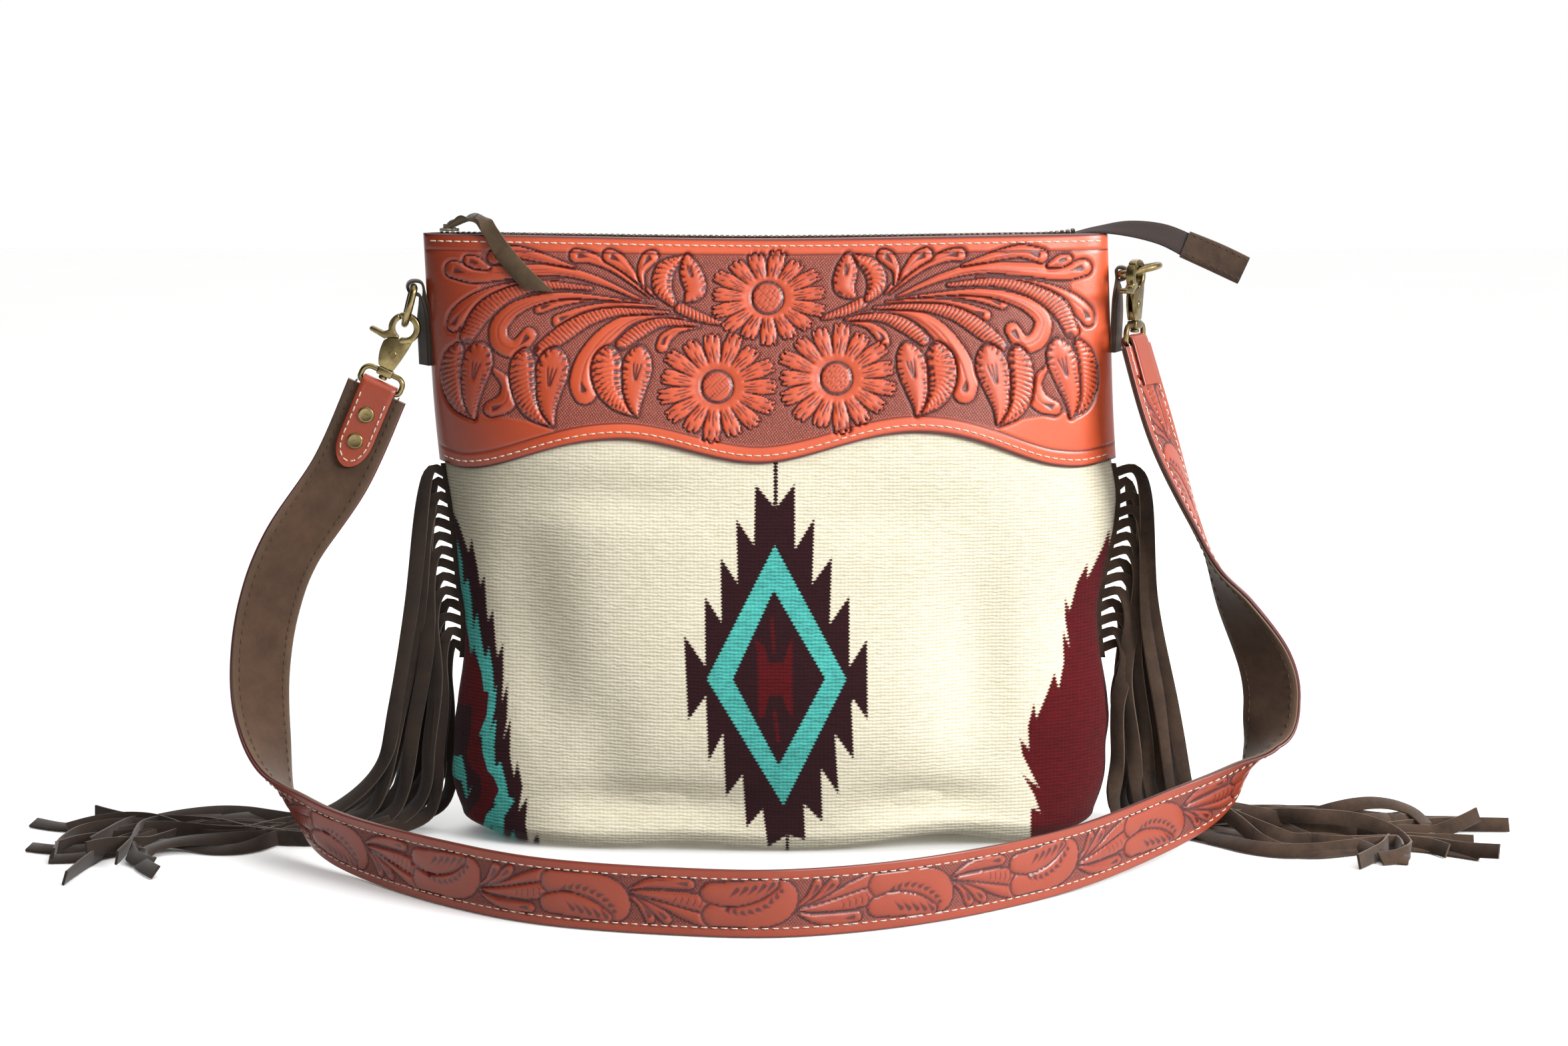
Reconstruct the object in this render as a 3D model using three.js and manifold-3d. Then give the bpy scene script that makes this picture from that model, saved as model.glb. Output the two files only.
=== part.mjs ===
// A western shoulder bag: a tooled leather yoke over a woven wool body, closed by a zip,
// with suede fringe in the side seams and a tooled strap held by two trigger snap hooks.
// Millimetres, +Z up. The origin is the middle of the base and the front faces -Y.
import * as THREE from 'three';
import { mergeVertices } from 'three/addons/utils/BufferGeometryUtils.js';
import Module from 'manifold-3d';

const wasm = await Module();
wasm.setup();

// Driving dimensions
const GAP = 0.3;
const BLANKET_WALL = 3;
const BLANKET_TOP = 258;
const SEAM_HEIGHTS = [105, 120, 138, 166, 194, 208, 220];
const YOKE_THICK = 2.5;
const YOKE_TOP = 353;
const YOKE_SAG = 2.5;
const SEAM_HALF_GAP = 0.2;

const STRAP_WIDTH = 36;
const STRAP_LEATHER = 2;
const STRAP_SUEDE = 1.4;
const STRAP_SUEDE_INSET = 0.7;
const STRAP_STEPS_PER_ROW = 4;

const TAB_WIDTH = 21;
const TAB_THICK = 2;
const TAB_TIP_ROWS = 0.92;
const TAB_BACK_ROWS = 0.52;
const RIVET_RADIUS = 4.5;
const RIVET_HEIGHT = 1.4;
const RIVET_ROWS = { upper: 0.35, lower: 0.64 };

const RING_WIRE = 2;
const RING_HALF_WIDTH = 10.4;
const RING_CORNER = 3;
const RING_LEG = 8;
const RING_DEPTH = 22;
const RING_TAB_WIDTH = 14;
const RING_TAB_LENGTH = 45;
const RING_TAB_THICK = 3;
const RING_TAB_LOOP = 4.4;

const HOOK_THICK = 5;
const EYE_RISE = 28;
const EYE_INNER = 5.5;
const EYE_OUTER = 9.1;
const EYE_DROP = 2.3;
const PIVOT_RISE = 11.4;
const PIN_RADIUS = 1.2;
const PIN_HEAD = 2.2;
const SHOULDER_RADIUS = 9.7;
const FOOT_RADIUS = 10.2;
const TANG_THICK = 1.8;
const SLOT_THICK = 2.4;
const COLLAR = { width: 9.2, height: 4.6, depth: 6 };
const POST_RADIUS = 1.5;
const POST_HEAD = 2.6;
const LOOP_WIRE = 1.6;
const LOOP_HALF_WIDTH = 12.4;
const LOOP_DROP = 9.5;

const FRINGE_COUNT = 11;
const FRINGE_LENGTH = 342;
const FRINGE_WIDTH = 8;
const FRINGE_THICK = 1.5;
const FRINGE_TOP = 214.5;
const FRINGE_PITCH = 10.4;
const FRINGE_BACKING = 8;
const FRINGE_STEPS_PER_ROW = 1;

// The bag's sections from the base up: the side seams' places, half the depth, and the
// two exponents that set how flat the panels are and how full they turn at the seams
const BAG_SECTIONS = [
  { z: 0, left: -152, right: 168, depth: 41, flat: 3.4, full: 0.5 },
  { z: 4, left: -166, right: 181, depth: 47, flat: 3.3, full: 0.5 },
  { z: 16, left: -181, right: 194, depth: 51, flat: 3.1, full: 0.52 },
  { z: 55, left: -184.5, right: 200, depth: 53, flat: 2.9, full: 0.56 },
  { z: 80, left: -182, right: 200.5, depth: 53, flat: 2.8, full: 0.6 },
  { z: 121, left: -177, right: 194, depth: 51, flat: 2.7, full: 0.66 },
  { z: 150, left: -179.5, right: 195.5, depth: 48, flat: 2.8, full: 0.7 },
  { z: 194, left: -183, right: 203, depth: 43, flat: 3.2, full: 0.72 },
  { z: 224, left: -187, right: 199.5, depth: 38, flat: 3.8, full: 0.7 },
  { z: 290, left: -191, right: 195.5, depth: 24, flat: 6, full: 0.6 },
  { z: 353, left: -193.5, right: 192.2, depth: 10.5, flat: 10, full: 0.5 },
];

// The yoke's scalloped lower edge across the front
const YOKE_WAVE = [
  { x: -193, z: 223 },
  { x: -166, z: 220 },
  { x: -85, z: 238.5 },
  { x: -3, z: 225.5 },
  { x: 88, z: 242.5 },
  { x: 166, z: 222 },
  { x: 205, z: 223.5 },
];

// Soft dents and swells of the wool front: place, half sizes and how far in they go
const DENTS = [
  { x: -112, z: 105, wide: 24, high: 75, depth: 4 },
  { x: 132, z: 120, wide: 26, high: 70, depth: 4 },
  { x: -60, z: 30, wide: 60, high: 13, depth: 3 },
  { x: 20, z: 80, wide: 80, high: 55, depth: -3 },
  { x: 95, z: 28, wide: 40, high: 15, depth: 4 },
];

// Where the front of the base lifts off the floor
const LIFTS = [
  { x: 105, wide: 48, rise: 9 },
  { x: -48, wide: 34, rise: 4 },
];

// The zip's tape from its closed left end to the tail, with the direction of its width
const ZIP_ROUTE = [
  { x: -186, y: 0, z: 350.6, wx: 0, wy: 1, wz: 0, half: 4.5 },
  { x: -160, y: 0, z: 350.3, wx: 0, wy: 1, wz: 0, half: 7 },
  { x: -100, y: 0, z: 349.4, wx: 0, wy: 1, wz: 0, half: 9.6 },
  { x: 0, y: 0, z: 348.4, wx: 0, wy: 1, wz: 0, half: 9.6 },
  { x: 100, y: 0, z: 349.4, wx: 0, wy: 1, wz: 0, half: 9.6 },
  { x: 150, y: 0, z: 350.6, wx: 0, wy: 1, wz: 0, half: 8 },
  { x: 172, y: 0, z: 353.2, wx: 0, wy: 1, wz: 0.05, half: 5.5 },
  { x: 188, y: 0, z: 357.4, wx: 0, wy: 0.95, wz: 0.2, half: 5.5 },
  { x: 207, y: -1, z: 359, wx: 0.1, wy: 0.75, wz: 0.6, half: 6.5 },
  { x: 226, y: -3, z: 355, wx: 0.25, wy: 0.55, wz: 0.8, half: 7 },
  { x: 241, y: -5, z: 348.5, wx: 0.4, wy: 0.45, wz: 0.8, half: 7.5 },
];
const TAPE_THICK = 1.4;
const ZIP_STEPS_PER_ROW = 3;
const CHAIN = { half: 2.6, height: 2.4, steps: 20 };
const SLIDER = { row: 0.3, length: 11, half: 4.5, bottom: 1.2, top: 5.8, slotHalf: 3.1, slotTop: 3.9 };

// The suede thong from the slider over the front edge, then down the yoke
const PULL_ROUTE = [
  { x: -178, y: -0.5, z: 358, wx: 0.3, wy: 0.95, wz: 0, half: 2.2 },
  { x: -170, y: -4, z: 361.4, wx: 0.3, wy: 0.95, wz: 0, half: 3.2 },
  { x: -161.5, y: -11, z: 361.5, wx: 0.6, wy: 0.75, wz: 0.2, half: 4.5 },
];
const PULL_ON_YOKE = [
  { x: -156, z: 354, half: 5.5 },
  { x: -150, z: 344, half: 6.5 },
  { x: -141, z: 332, half: 7 },
  { x: -130, z: 321.5, half: 6.5 },
  { x: -124, z: 317, half: 2.5 },
];
const PULL_THICK = 1.6;
const PULL_STAND_OFF = 1.9;
const PULL_ACROSS_YOKE = { wx: 0.72, wy: 0.15, wz: 0.68 };

// The folded suede end of the zip's tail
const TAIL_TAB_ROUTE = [
  { x: 242.4, y: -5.2, z: 347.6, wx: 0.42, wy: 0.43, wz: 0.8, half: 8 },
  { x: 255, y: -6.8, z: 340.5, wx: 0.48, wy: 0.3, wz: 0.82, half: 9 },
  { x: 270, y: -8.2, z: 331.4, wx: 0.5, wy: 0.2, wz: 0.84, half: 9.5 },
];
const TAIL_TAB_THICK = 4;

// Each end's ring and hook: the ring's bar, how the suede tab leans and turns, the ring's
// direction in the turned plane, where on the ring the eye hangs, and the hook's own axes
const LEFT_END = {
  bar: [-202.4, 0, 322],
  outward: -1,
  turnDeg: 10,
  leanDeg: 1.5,
  tabOffset: 5,
  ringOut: 0.26,
  ringUp: -0.9656,
  eyeAlongRing: 22,
  eyeAcross: 0,
  axis: [0.4214, 0, 0.9069],
  across: [-0.9069, 0, 0.4214],
  strapDown: [-0.4214, 0, -0.9069],
  strapEnd: 0,
};
const RIGHT_END = {
  bar: [203.3, 0, 329.8],
  outward: 1,
  turnDeg: -10,
  leanDeg: 1,
  tabOffset: 1.5,
  ringOut: 0.975,
  ringUp: 0.22,
  eyeAlongRing: 9,
  eyeAcross: -10.4,
  axis: [0, 0, 1],
  across: [-0.5, -0.866, 0],
  strapDown: [0.28, -0.162, -0.946],
  strapEnd: 1,
};
const STRAP_BELOW_BAR = 2.5;
const STRAP_STRAIGHT = 52;
const STRAP_MIDDLE_OFFSET = 0.3;

// The strap between its two straight ends, laid on its edge in an arc on the floor:
// places on its middle line, and the direction across it from lower to upper edge
const STRAP_ROUTE = [
  { x: -274.8, y: -12, z: 172.3, wx: -0.85, wy: -0.3, wz: 0.42 },
  { x: -288, y: -16.5, z: 138, wx: -0.88, wy: -0.35, wz: 0.3 },
  { x: -293, y: -22, z: 102.3, wx: -0.85, wy: -0.45, wz: 0.3 },
  { x: -290, y: -31, z: 70, wx: -0.72, wy: -0.55, wz: 0.45 },
  { x: -278, y: -48, z: 38.5, wx: -0.35, wy: -0.6, wz: 0.72 },
  { x: -255.8, y: -74, z: 25.5, wx: -0.15, wy: -0.25, wz: 0.95 },
  { x: -226, y: -101, z: 19.6, wx: -0.1, wy: -0.1, wz: 0.99 },
  { x: -174, y: -144.5, z: 18.6, wx: 0, wy: 0, wz: 1 },
  { x: -118.6, y: -178, z: 18.6, wx: 0, wy: 0, wz: 1 },
  { x: -50, y: -195.5, z: 18.6, wx: 0, wy: 0, wz: 1 },
  { x: 15, y: -199, z: 18.6, wx: 0, wy: 0, wz: 1 },
  { x: 88, y: -175, z: 18.6, wx: 0, wy: 0, wz: 1 },
  { x: 161.6, y: -126, z: 19, wx: 0, wy: 0, wz: 1 },
  { x: 222.5, y: -74, z: 25.5, wx: 0.05, wy: 0, wz: 1 },
  { x: 264, y: -45, z: 38, wx: 0.3, wy: -0.2, wz: 0.92 },
  { x: 286, y: -31, z: 60, wx: 0.6, wy: -0.35, wz: 0.7 },
  { x: 292, y: -25, z: 83, wx: 0.7, wy: -0.45, wz: 0.5 },
  { x: 288, y: -22, z: 107, wx: 0.68, wy: -0.6, wz: 0.35 },
  { x: 271, y: -19, z: 139, wx: 0.4, wy: -0.88, wz: 0.2 },
  { x: 257, y: -18.5, z: 164, wx: 0, wy: -1, wz: 0 },
  { x: 245.5, y: -18.2, z: 190, wx: -0.2, wy: -0.97, wz: 0 },
];

// Which way each strip of fringe runs on the floor, top strip first, from straight out
// towards the front
const LEFT_FAN_DEG = [50, 38, 44, 30, 8, 24, 40, 16, 2, 20, 12];
const RIGHT_FAN_DEG = [46, -8, 30, 20, -10, 36, 5, 28, 12, 33, 25];

const FINISHES = {
  wool: { color: '#e6dec2', roughness: 0.95, metalness: 0 },
  leather: { color: '#c8553a', roughness: 0.5, metalness: 0 },
  suede: { color: '#4f3b2c', roughness: 0.95, metalness: 0 },
  tape: { color: '#3a2b27', roughness: 0.9, metalness: 0 },
  brass: { color: '#8f7d48', roughness: 0.35, metalness: 1 },
};

const vec = (x, y, z) => new THREE.Vector3(x, y, z);
const radians = THREE.MathUtils.degToRad;
const bell = (value) => Math.exp(-value * value);

// A repeatable scatter between 0 and 1 for one strip and one purpose
function scatter(index, purpose) {
  const value = Math.sin(index * 12.9898 + purpose * 78.233) * 43758.5453;
  return value - Math.floor(value);
}

// Reads one column of a table at a key value, on a smooth curve through the rows
function columnAt(rows, key, name, at) {
  const last = rows.length - 1;
  const value = THREE.MathUtils.clamp(at, rows[0][key], rows[last][key]);
  let i = 0;
  while (i < last - 1 && rows[i + 1][key] < value) i += 1;
  const slope = (j) => {
    const low = rows[Math.max(j - 1, 0)];
    const high = rows[Math.min(j + 1, last)];
    return (high[name] - low[name]) / (high[key] - low[key]);
  };
  const span = rows[i + 1][key] - rows[i][key];
  const t = (value - rows[i][key]) / span;
  const ease = t * t * (3 - 2 * t);
  const start = rows[i][name] + slope(i) * t * span;
  const end = rows[i + 1][name] - slope(i + 1) * (1 - t) * span;
  return start * (1 - ease) + end * ease;
}

// All columns of a route at a place counted in rows, on a smooth curve through the rows
function routeAt(rows, place) {
  const last = rows.length - 1;
  const i = Math.min(Math.max(Math.floor(place), 0), last - 1);
  const t = place - i;
  const before = rows[Math.max(i - 1, 0)];
  const after = rows[Math.min(i + 2, last)];
  const result = {};
  for (const name of Object.keys(rows[0])) {
    const [a, b, c, d] = [before[name], rows[i][name], rows[i + 1][name], after[name]];
    const bend = 2 * a - 5 * b + 4 * c - d;
    const twist = 3 * b - a - 3 * c + d;
    result[name] = b + 0.5 * t * (c - a + t * (bend + t * twist));
  }
  return result;
}

// The middle line, the way along, the way across and the face's normal of a flat route
function frameAt(rows, place) {
  const step = 0.01;
  const here = routeAt(rows, place);
  const ahead = routeAt(rows, place + step);
  const behind = routeAt(rows, place - step);
  const along = vec(ahead.x - behind.x, ahead.y - behind.y, ahead.z - behind.z).normalize();
  const across = vec(here.wx, here.wy, here.wz);
  across.addScaledVector(along, -across.dot(along)).normalize();
  const normal = along.clone().cross(across);
  return { point: vec(here.x, here.y, here.z), along, across, normal, half: here.half };
}

// A closed body from points and triangles, with its faces turned outwards
function solid(points, faces) {
  let volume = 0;
  for (const [a, b, c] of faces) {
    volume += points[a].dot(points[b].clone().cross(points[c]));
  }
  const index = volume < 0 ? faces.flatMap(([a, b, c]) => [a, c, b]) : faces.flat();
  const geometry = new THREE.BufferGeometry();
  const positions = points.flatMap((point) => point.toArray());
  geometry.setAttribute('position', new THREE.Float32BufferAttribute(positions, 3));
  geometry.setIndex(index);
  geometry.computeVertexNormals();
  return geometry;
}

// Joins convex sections of equal point counts into one body, closed by caps or on itself;
// the two broad faces of a flat strip are cut along the same diagonals
function loft(sections, closedOnItself = false) {
  const count = sections[0].length;
  const faces = [];
  const rows = closedOnItself ? sections.length : sections.length - 1;
  for (let i = 0; i < rows; i += 1) {
    const here = i * count;
    const next = ((i + 1) % sections.length) * count;
    for (let j = 0; j < count; j += 1) {
      const k = (j + 1) % count;
      if (count === 4 && j === 2) {
        faces.push([here + j, here + k, next + j], [here + k, next + k, next + j]);
      } else {
        faces.push([here + j, here + k, next + k], [here + j, next + k, next + j]);
      }
    }
  }
  if (!closedOnItself) {
    const end = (sections.length - 1) * count;
    for (let j = 1; j < count - 1; j += 1) {
      faces.push([0, j + 1, j], [end, end + j, end + j + 1]);
    }
  }
  return solid(sections.flat(), faces);
}

// The four corners of a flat strip's section
function stripSection(point, halfAcross, halfThick) {
  return [
    point.clone().sub(halfAcross).sub(halfThick),
    point.clone().add(halfAcross).sub(halfThick),
    point.clone().add(halfAcross).add(halfThick),
    point.clone().sub(halfAcross).add(halfThick),
  ];
}

// A flat strip along a route, lifted off its middle line along the face's normal
function strip(rows, options) {
  const { from = 0, to = rows.length - 1, steps, half, thick, lift = 0 } = options;
  const sections = [];
  for (let i = 0; i <= steps; i += 1) {
    const frame = frameAt(rows, from + ((to - from) * i) / steps);
    const middle = frame.point.addScaledVector(frame.normal, lift);
    const reach = half ?? frame.half;
    const halfAcross = frame.across.multiplyScalar(reach);
    sections.push(stripSection(middle, halfAcross, frame.normal.multiplyScalar(thick / 2)));
  }
  return loft(sections);
}

// A round wire along a closed flat outline
function wireLoop(outline, radius, sides) {
  const count = outline.length;
  const sections = outline.map((point, i) => {
    const before = outline[(i + count - 1) % count];
    const after = outline[(i + 1) % count];
    const side = new THREE.Vector2(after.y - before.y, before.x - after.x).normalize();
    return Array.from({ length: sides }, (_, j) => {
      const angle = ((j + 0.5) / sides) * 2 * Math.PI;
      const out = radius * Math.cos(angle);
      return vec(point.x + side.x * out, point.y + side.y * out, radius * Math.sin(angle));
    });
  });
  return loft(sections, true);
}

// The points of a closed shape, each once
function outlinePoints(shape, segments) {
  const points = shape.extractPoints(segments).shape;
  return points.filter((point, i) => {
    const before = points[(i + points.length - 1) % points.length];
    return point.distanceTo(before) > 0.01;
  });
}

function extrude(shape, depth, segments = 10) {
  const geometry = new THREE.ExtrudeGeometry(shape, { depth, bevelEnabled: false, curveSegments: segments });
  return geometry.translate(0, 0, -depth / 2);
}

function toManifold(geometry) {
  const bare = geometry.clone();
  bare.deleteAttribute('normal');
  bare.deleteAttribute('uv');
  const merged = mergeVertices(bare, 1e-4);
  const vertProperties = new Float32Array(merged.attributes.position.array);
  const triVerts = new Uint32Array(merged.index.array);
  return new wasm.Manifold(new wasm.Mesh({ numProp: 3, vertProperties, triVerts }));
}

function fromManifold(body) {
  const mesh = body.getMesh();
  const geometry = new THREE.BufferGeometry();
  geometry.setAttribute('position', new THREE.BufferAttribute(mesh.vertProperties, 3));
  geometry.setIndex(new THREE.BufferAttribute(mesh.triVerts, 1));
  geometry.computeVertexNormals();
  return geometry;
}

function fuse(geometries) {
  const [first, ...rest] = geometries.map(toManifold);
  return rest.reduce((sum, body) => sum.add(body), first);
}

const bag = new THREE.Group();

function place(name, geometry, finish, parent = bag) {
  const mesh = new THREE.Mesh(geometry, new THREE.MeshStandardMaterial(FINISHES[finish]));
  mesh.name = name;
  parent.add(mesh);
  return mesh;
}

// A group whose own axes are the three given directions
function turnedGroup(origin, xAxis, yAxis, zAxis) {
  const group = new THREE.Group();
  group.position.copy(origin);
  group.quaternion.setFromRotationMatrix(new THREE.Matrix4().makeBasis(xAxis, yAxis, zAxis));
  bag.add(group);
  return group;
}

// The bag's surface

// A point of the front (side -1) or back (side 1) panel, at a share across from seam to
// seam; a positive inset lies inside the wool's outer face
function bagPoint(share, z, side, inset = 0) {
  const left = columnAt(BAG_SECTIONS, 'z', 'left', z) + inset;
  const right = columnAt(BAG_SECTIONS, 'z', 'right', z) - inset;
  const depth = columnAt(BAG_SECTIONS, 'z', 'depth', z) - inset;
  const flat = columnAt(BAG_SECTIONS, 'z', 'flat', z);
  const full = columnAt(BAG_SECTIONS, 'z', 'full', z);
  const x = (left + right) / 2 + ((right - left) / 2) * share;
  let y = side * depth * (1 - Math.abs(share) ** flat) ** full;
  let rise = 0;
  if (side < 0) {
    const awayFromSeam = 1 - share ** 4;
    for (const dent of DENTS) {
      y += awayFromSeam * dent.depth * bell((x - dent.x) / dent.wide) * bell((z - dent.z) / dent.high);
    }
    const nearFront = THREE.MathUtils.smoothstep(-y, 20, 40);
    for (const lift of LIFTS) {
      rise += nearFront * lift.rise * bell((x - lift.x) / lift.wide) * bell(z / 30);
    }
  }
  return vec(x, y, z + rise);
}

// The y of the yoke's outer face at a place on the front
function yokeFrontY(x, z) {
  const outside = GAP + YOKE_THICK;
  const left = columnAt(BAG_SECTIONS, 'z', 'left', z) - outside;
  const right = columnAt(BAG_SECTIONS, 'z', 'right', z) + outside;
  const share = (2 * x - left - right) / (right - left);
  return bagPoint(share, Math.min(z, YOKE_TOP), -1, -outside).y - SEAM_HALF_GAP;
}

// Shares across a panel, closer together towards the seams
const panelShares = (count) => Array.from({ length: count + 1 }, (_, i) => -Math.cos((Math.PI * i) / count));

// The wool cup: an outer and an inner skin joined at the rim, each closed by its own floor
function blanketBody() {
  const shares = panelShares(20);
  const outerHeights = [0, 1.5, 4, 9, 16, 34, 55, 80, ...SEAM_HEIGHTS, BLANKET_TOP];
  const innerHeights = [3.2, 6, 10, 18, 34, 55, 80, ...SEAM_HEIGHTS, BLANKET_TOP];
  const ring = (z, inset) => [
    ...shares.map((share) => bagPoint(share, z, -1, inset)),
    ...shares.slice(1, -1).reverse().map((share) => bagPoint(share, z, 1, inset)),
  ];
  const outer = outerHeights.map((z) => ring(z, 0));
  const inner = innerHeights.map((z) => ring(z, BLANKET_WALL)).reverse();
  const rings = [...outer, ...inner];
  const count = rings[0].length;
  const points = rings.flat();
  const faces = [];
  for (let i = 0; i < rings.length - 1; i += 1) {
    for (let j = 0; j < count; j += 1) {
      const k = (j + 1) % count;
      const [here, next] = [i * count, (i + 1) * count];
      faces.push([here + j, here + k, next + k], [here + j, next + k, next + j]);
    }
  }
  addFloor(points, faces, rings[0], 0, outerHeights[0], true);
  addFloor(points, faces, rings[rings.length - 1], (rings.length - 1) * count, innerHeights[0], false);
  return solid(points, faces);
}

// Closes a ring with a floor that is flat from a line behind the front edge to the back
function addFloor(points, faces, ring, first, z, downwards) {
  const panel = ring.length / 2;
  const middle = [];
  for (let i = 0; i <= panel; i += 1) {
    const onSeam = i === 0 || i === panel;
    middle.push(onSeam ? first + i : points.push(vec(ring[i].x, ring[i].y * 0.45, z)) - 1);
  }
  const front = (i) => first + i;
  const back = (i) => first + ((ring.length - i) % ring.length);
  const quad = (a, b, c, d) => {
    const triangles = [[a, b, c], [a, c, d]].filter((face) => new Set(face).size === 3);
    faces.push(...triangles.map((face) => (downwards ? face.reverse() : face)));
  };
  for (let i = 0; i < panel; i += 1) {
    quad(front(i), front(i + 1), middle[i + 1], middle[i]);
    quad(middle[i], middle[i + 1], back(i + 1), back(i));
  }
}

const yokeTop = (x) => YOKE_TOP - YOKE_SAG * Math.cos((Math.PI * x) / 400) ** 2;

// One leather panel over the upper bag, from its scalloped edge to the zip
function yokePanel(side, across, rows) {
  const shares = panelShares(across);
  const points = [];
  for (const inset of [-GAP - YOKE_THICK, -GAP]) {
    for (const share of shares) {
      const { x } = bagPoint(share, YOKE_WAVE[0].z, side, inset);
      const low = columnAt(YOKE_WAVE, 'x', 'z', x);
      const high = yokeTop(x);
      for (let j = 0; j <= rows; j += 1) {
        const point = bagPoint(share, low + ((high - low) * j) / rows, side, inset);
        points.push(point.add(vec(0, side * SEAM_HALF_GAP, 0)));
      }
    }
  }
  const layer = (across + 1) * (rows + 1);
  const at = (i, j, inner) => inner * layer + i * (rows + 1) + j;
  const faces = [];
  const quad = (a, b, c, d) => faces.push([a, b, c], [a, c, d]);
  for (let i = 0; i < across; i += 1) {
    for (let j = 0; j < rows; j += 1) {
      quad(at(i, j, 0), at(i + 1, j, 0), at(i + 1, j + 1, 0), at(i, j + 1, 0));
      quad(at(i, j, 1), at(i, j + 1, 1), at(i + 1, j + 1, 1), at(i + 1, j, 1));
    }
    quad(at(i, 0, 0), at(i, 0, 1), at(i + 1, 0, 1), at(i + 1, 0, 0));
    quad(at(i, rows, 0), at(i + 1, rows, 0), at(i + 1, rows, 1), at(i, rows, 1));
  }
  for (let j = 0; j < rows; j += 1) {
    quad(at(0, j, 0), at(0, j + 1, 0), at(0, j + 1, 1), at(0, j, 1));
    quad(at(across, j, 0), at(across, j, 1), at(across, j + 1, 1), at(across, j + 1, 0));
  }
  return solid(points, faces);
}

place('blanket_body', blanketBody(), 'wool');
place('yoke_front', yokePanel(-1, 32, 5), 'leather');
place('yoke_back', yokePanel(1, 26, 4), 'leather');

// The zip

function zipSlider() {
  const { half, bottom, top, slotHalf, slotTop, length } = SLIDER;
  const shape = new THREE.Shape([
    new THREE.Vector2(-half, bottom),
    new THREE.Vector2(-slotHalf, bottom),
    new THREE.Vector2(-slotHalf, slotTop),
    new THREE.Vector2(slotHalf, slotTop),
    new THREE.Vector2(slotHalf, bottom),
    new THREE.Vector2(half, bottom),
    new THREE.Vector2(half, top),
    new THREE.Vector2(-half, top),
  ]);
  return extrude(shape, length);
}

const chainLift = TAPE_THICK / 2 + GAP + CHAIN.height / 2;
place('zip_tape', strip(ZIP_ROUTE, { steps: 10 * ZIP_STEPS_PER_ROW, thick: TAPE_THICK }), 'tape');
place('zip_chain', strip(ZIP_ROUTE, {
  to: CHAIN.steps / ZIP_STEPS_PER_ROW,
  steps: CHAIN.steps,
  half: CHAIN.half,
  thick: CHAIN.height,
  lift: chainLift,
}), 'brass');

const sliderFrame = frameAt(ZIP_ROUTE, SLIDER.row);
const sliderGroup = turnedGroup(sliderFrame.point, sliderFrame.across, sliderFrame.normal, sliderFrame.along);
place('zip_slider', zipSlider(), 'brass', sliderGroup);

const pullRoute = [
  ...PULL_ROUTE,
  ...PULL_ON_YOKE.map(({ x, z, half }) => {
    const y = yokeFrontY(x, z) - PULL_STAND_OFF;
    return { x, y, z, half, ...PULL_ACROSS_YOKE };
  }),
];
place('zip_pull', strip(pullRoute, { steps: 14, thick: PULL_THICK }), 'suede');
place('zip_tail_tab', strip(TAIL_TAB_ROUTE, { steps: 4, thick: TAIL_TAB_THICK }), 'suede');

// The two ends: suede tab, ring, hook, trigger and swivel loop

// The outline of a D-ring with its bar on the x axis
function ringOutline() {
  const inner = RING_HALF_WIDTH - RING_CORNER;
  const shape = new THREE.Shape();
  shape.moveTo(-inner, 0);
  shape.lineTo(inner, 0);
  shape.absarc(inner, RING_CORNER, RING_CORNER, -Math.PI / 2, 0, false);
  shape.lineTo(RING_HALF_WIDTH, RING_LEG);
  shape.absellipse(0, RING_LEG, RING_HALF_WIDTH, RING_DEPTH - RING_LEG, 0, Math.PI, false, 0);
  shape.lineTo(-RING_HALF_WIDTH, RING_CORNER);
  shape.absarc(-inner, RING_CORNER, RING_CORNER, Math.PI, 1.5 * Math.PI, false);
  return outlinePoints(shape, 4);
}

// A strip folded round the ring's bar, seen from its edge, hanging to one side of the bar
function ringTab({ outward, tabOffset }) {
  const half = RING_TAB_THICK / 2;
  const near = tabOffset - half;
  const far = tabOffset + half;
  const corners = [[near, -RING_TAB_LENGTH], [far, -RING_TAB_LENGTH], [far, -1], [3, 3], [0, 4.2], [near, 0]];
  const fold = new THREE.Shape(corners.map(([x, y]) => new THREE.Vector2(outward * x, y)));
  const bore = toManifold(extrude(disc(0, RING_WIRE + 2 * GAP), 2 * RING_TAB_WIDTH, 6));
  const body = fuse([extrude(fold, RING_TAB_WIDTH), extrude(disc(0, RING_TAB_LOOP), RING_TAB_WIDTH, 7)]);
  return fromManifold(body.subtract(bore));
}

// A sector of a ring round the eye, or a pie from the pivot where the inner radius is none
function sector(rise, inner, outer, fromDeg, toDeg) {
  const shape = new THREE.Shape();
  shape.absarc(0, rise, outer, radians(fromDeg), radians(toDeg), false);
  if (inner > 0) {
    shape.absarc(0, rise, inner, radians(toDeg), radians(fromDeg), true);
  } else {
    shape.lineTo(0, rise);
  }
  return shape;
}

function disc(rise, radius) {
  const shape = new THREE.Shape();
  shape.absarc(0, rise, radius, 0, 2 * Math.PI, false);
  return shape;
}

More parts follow.
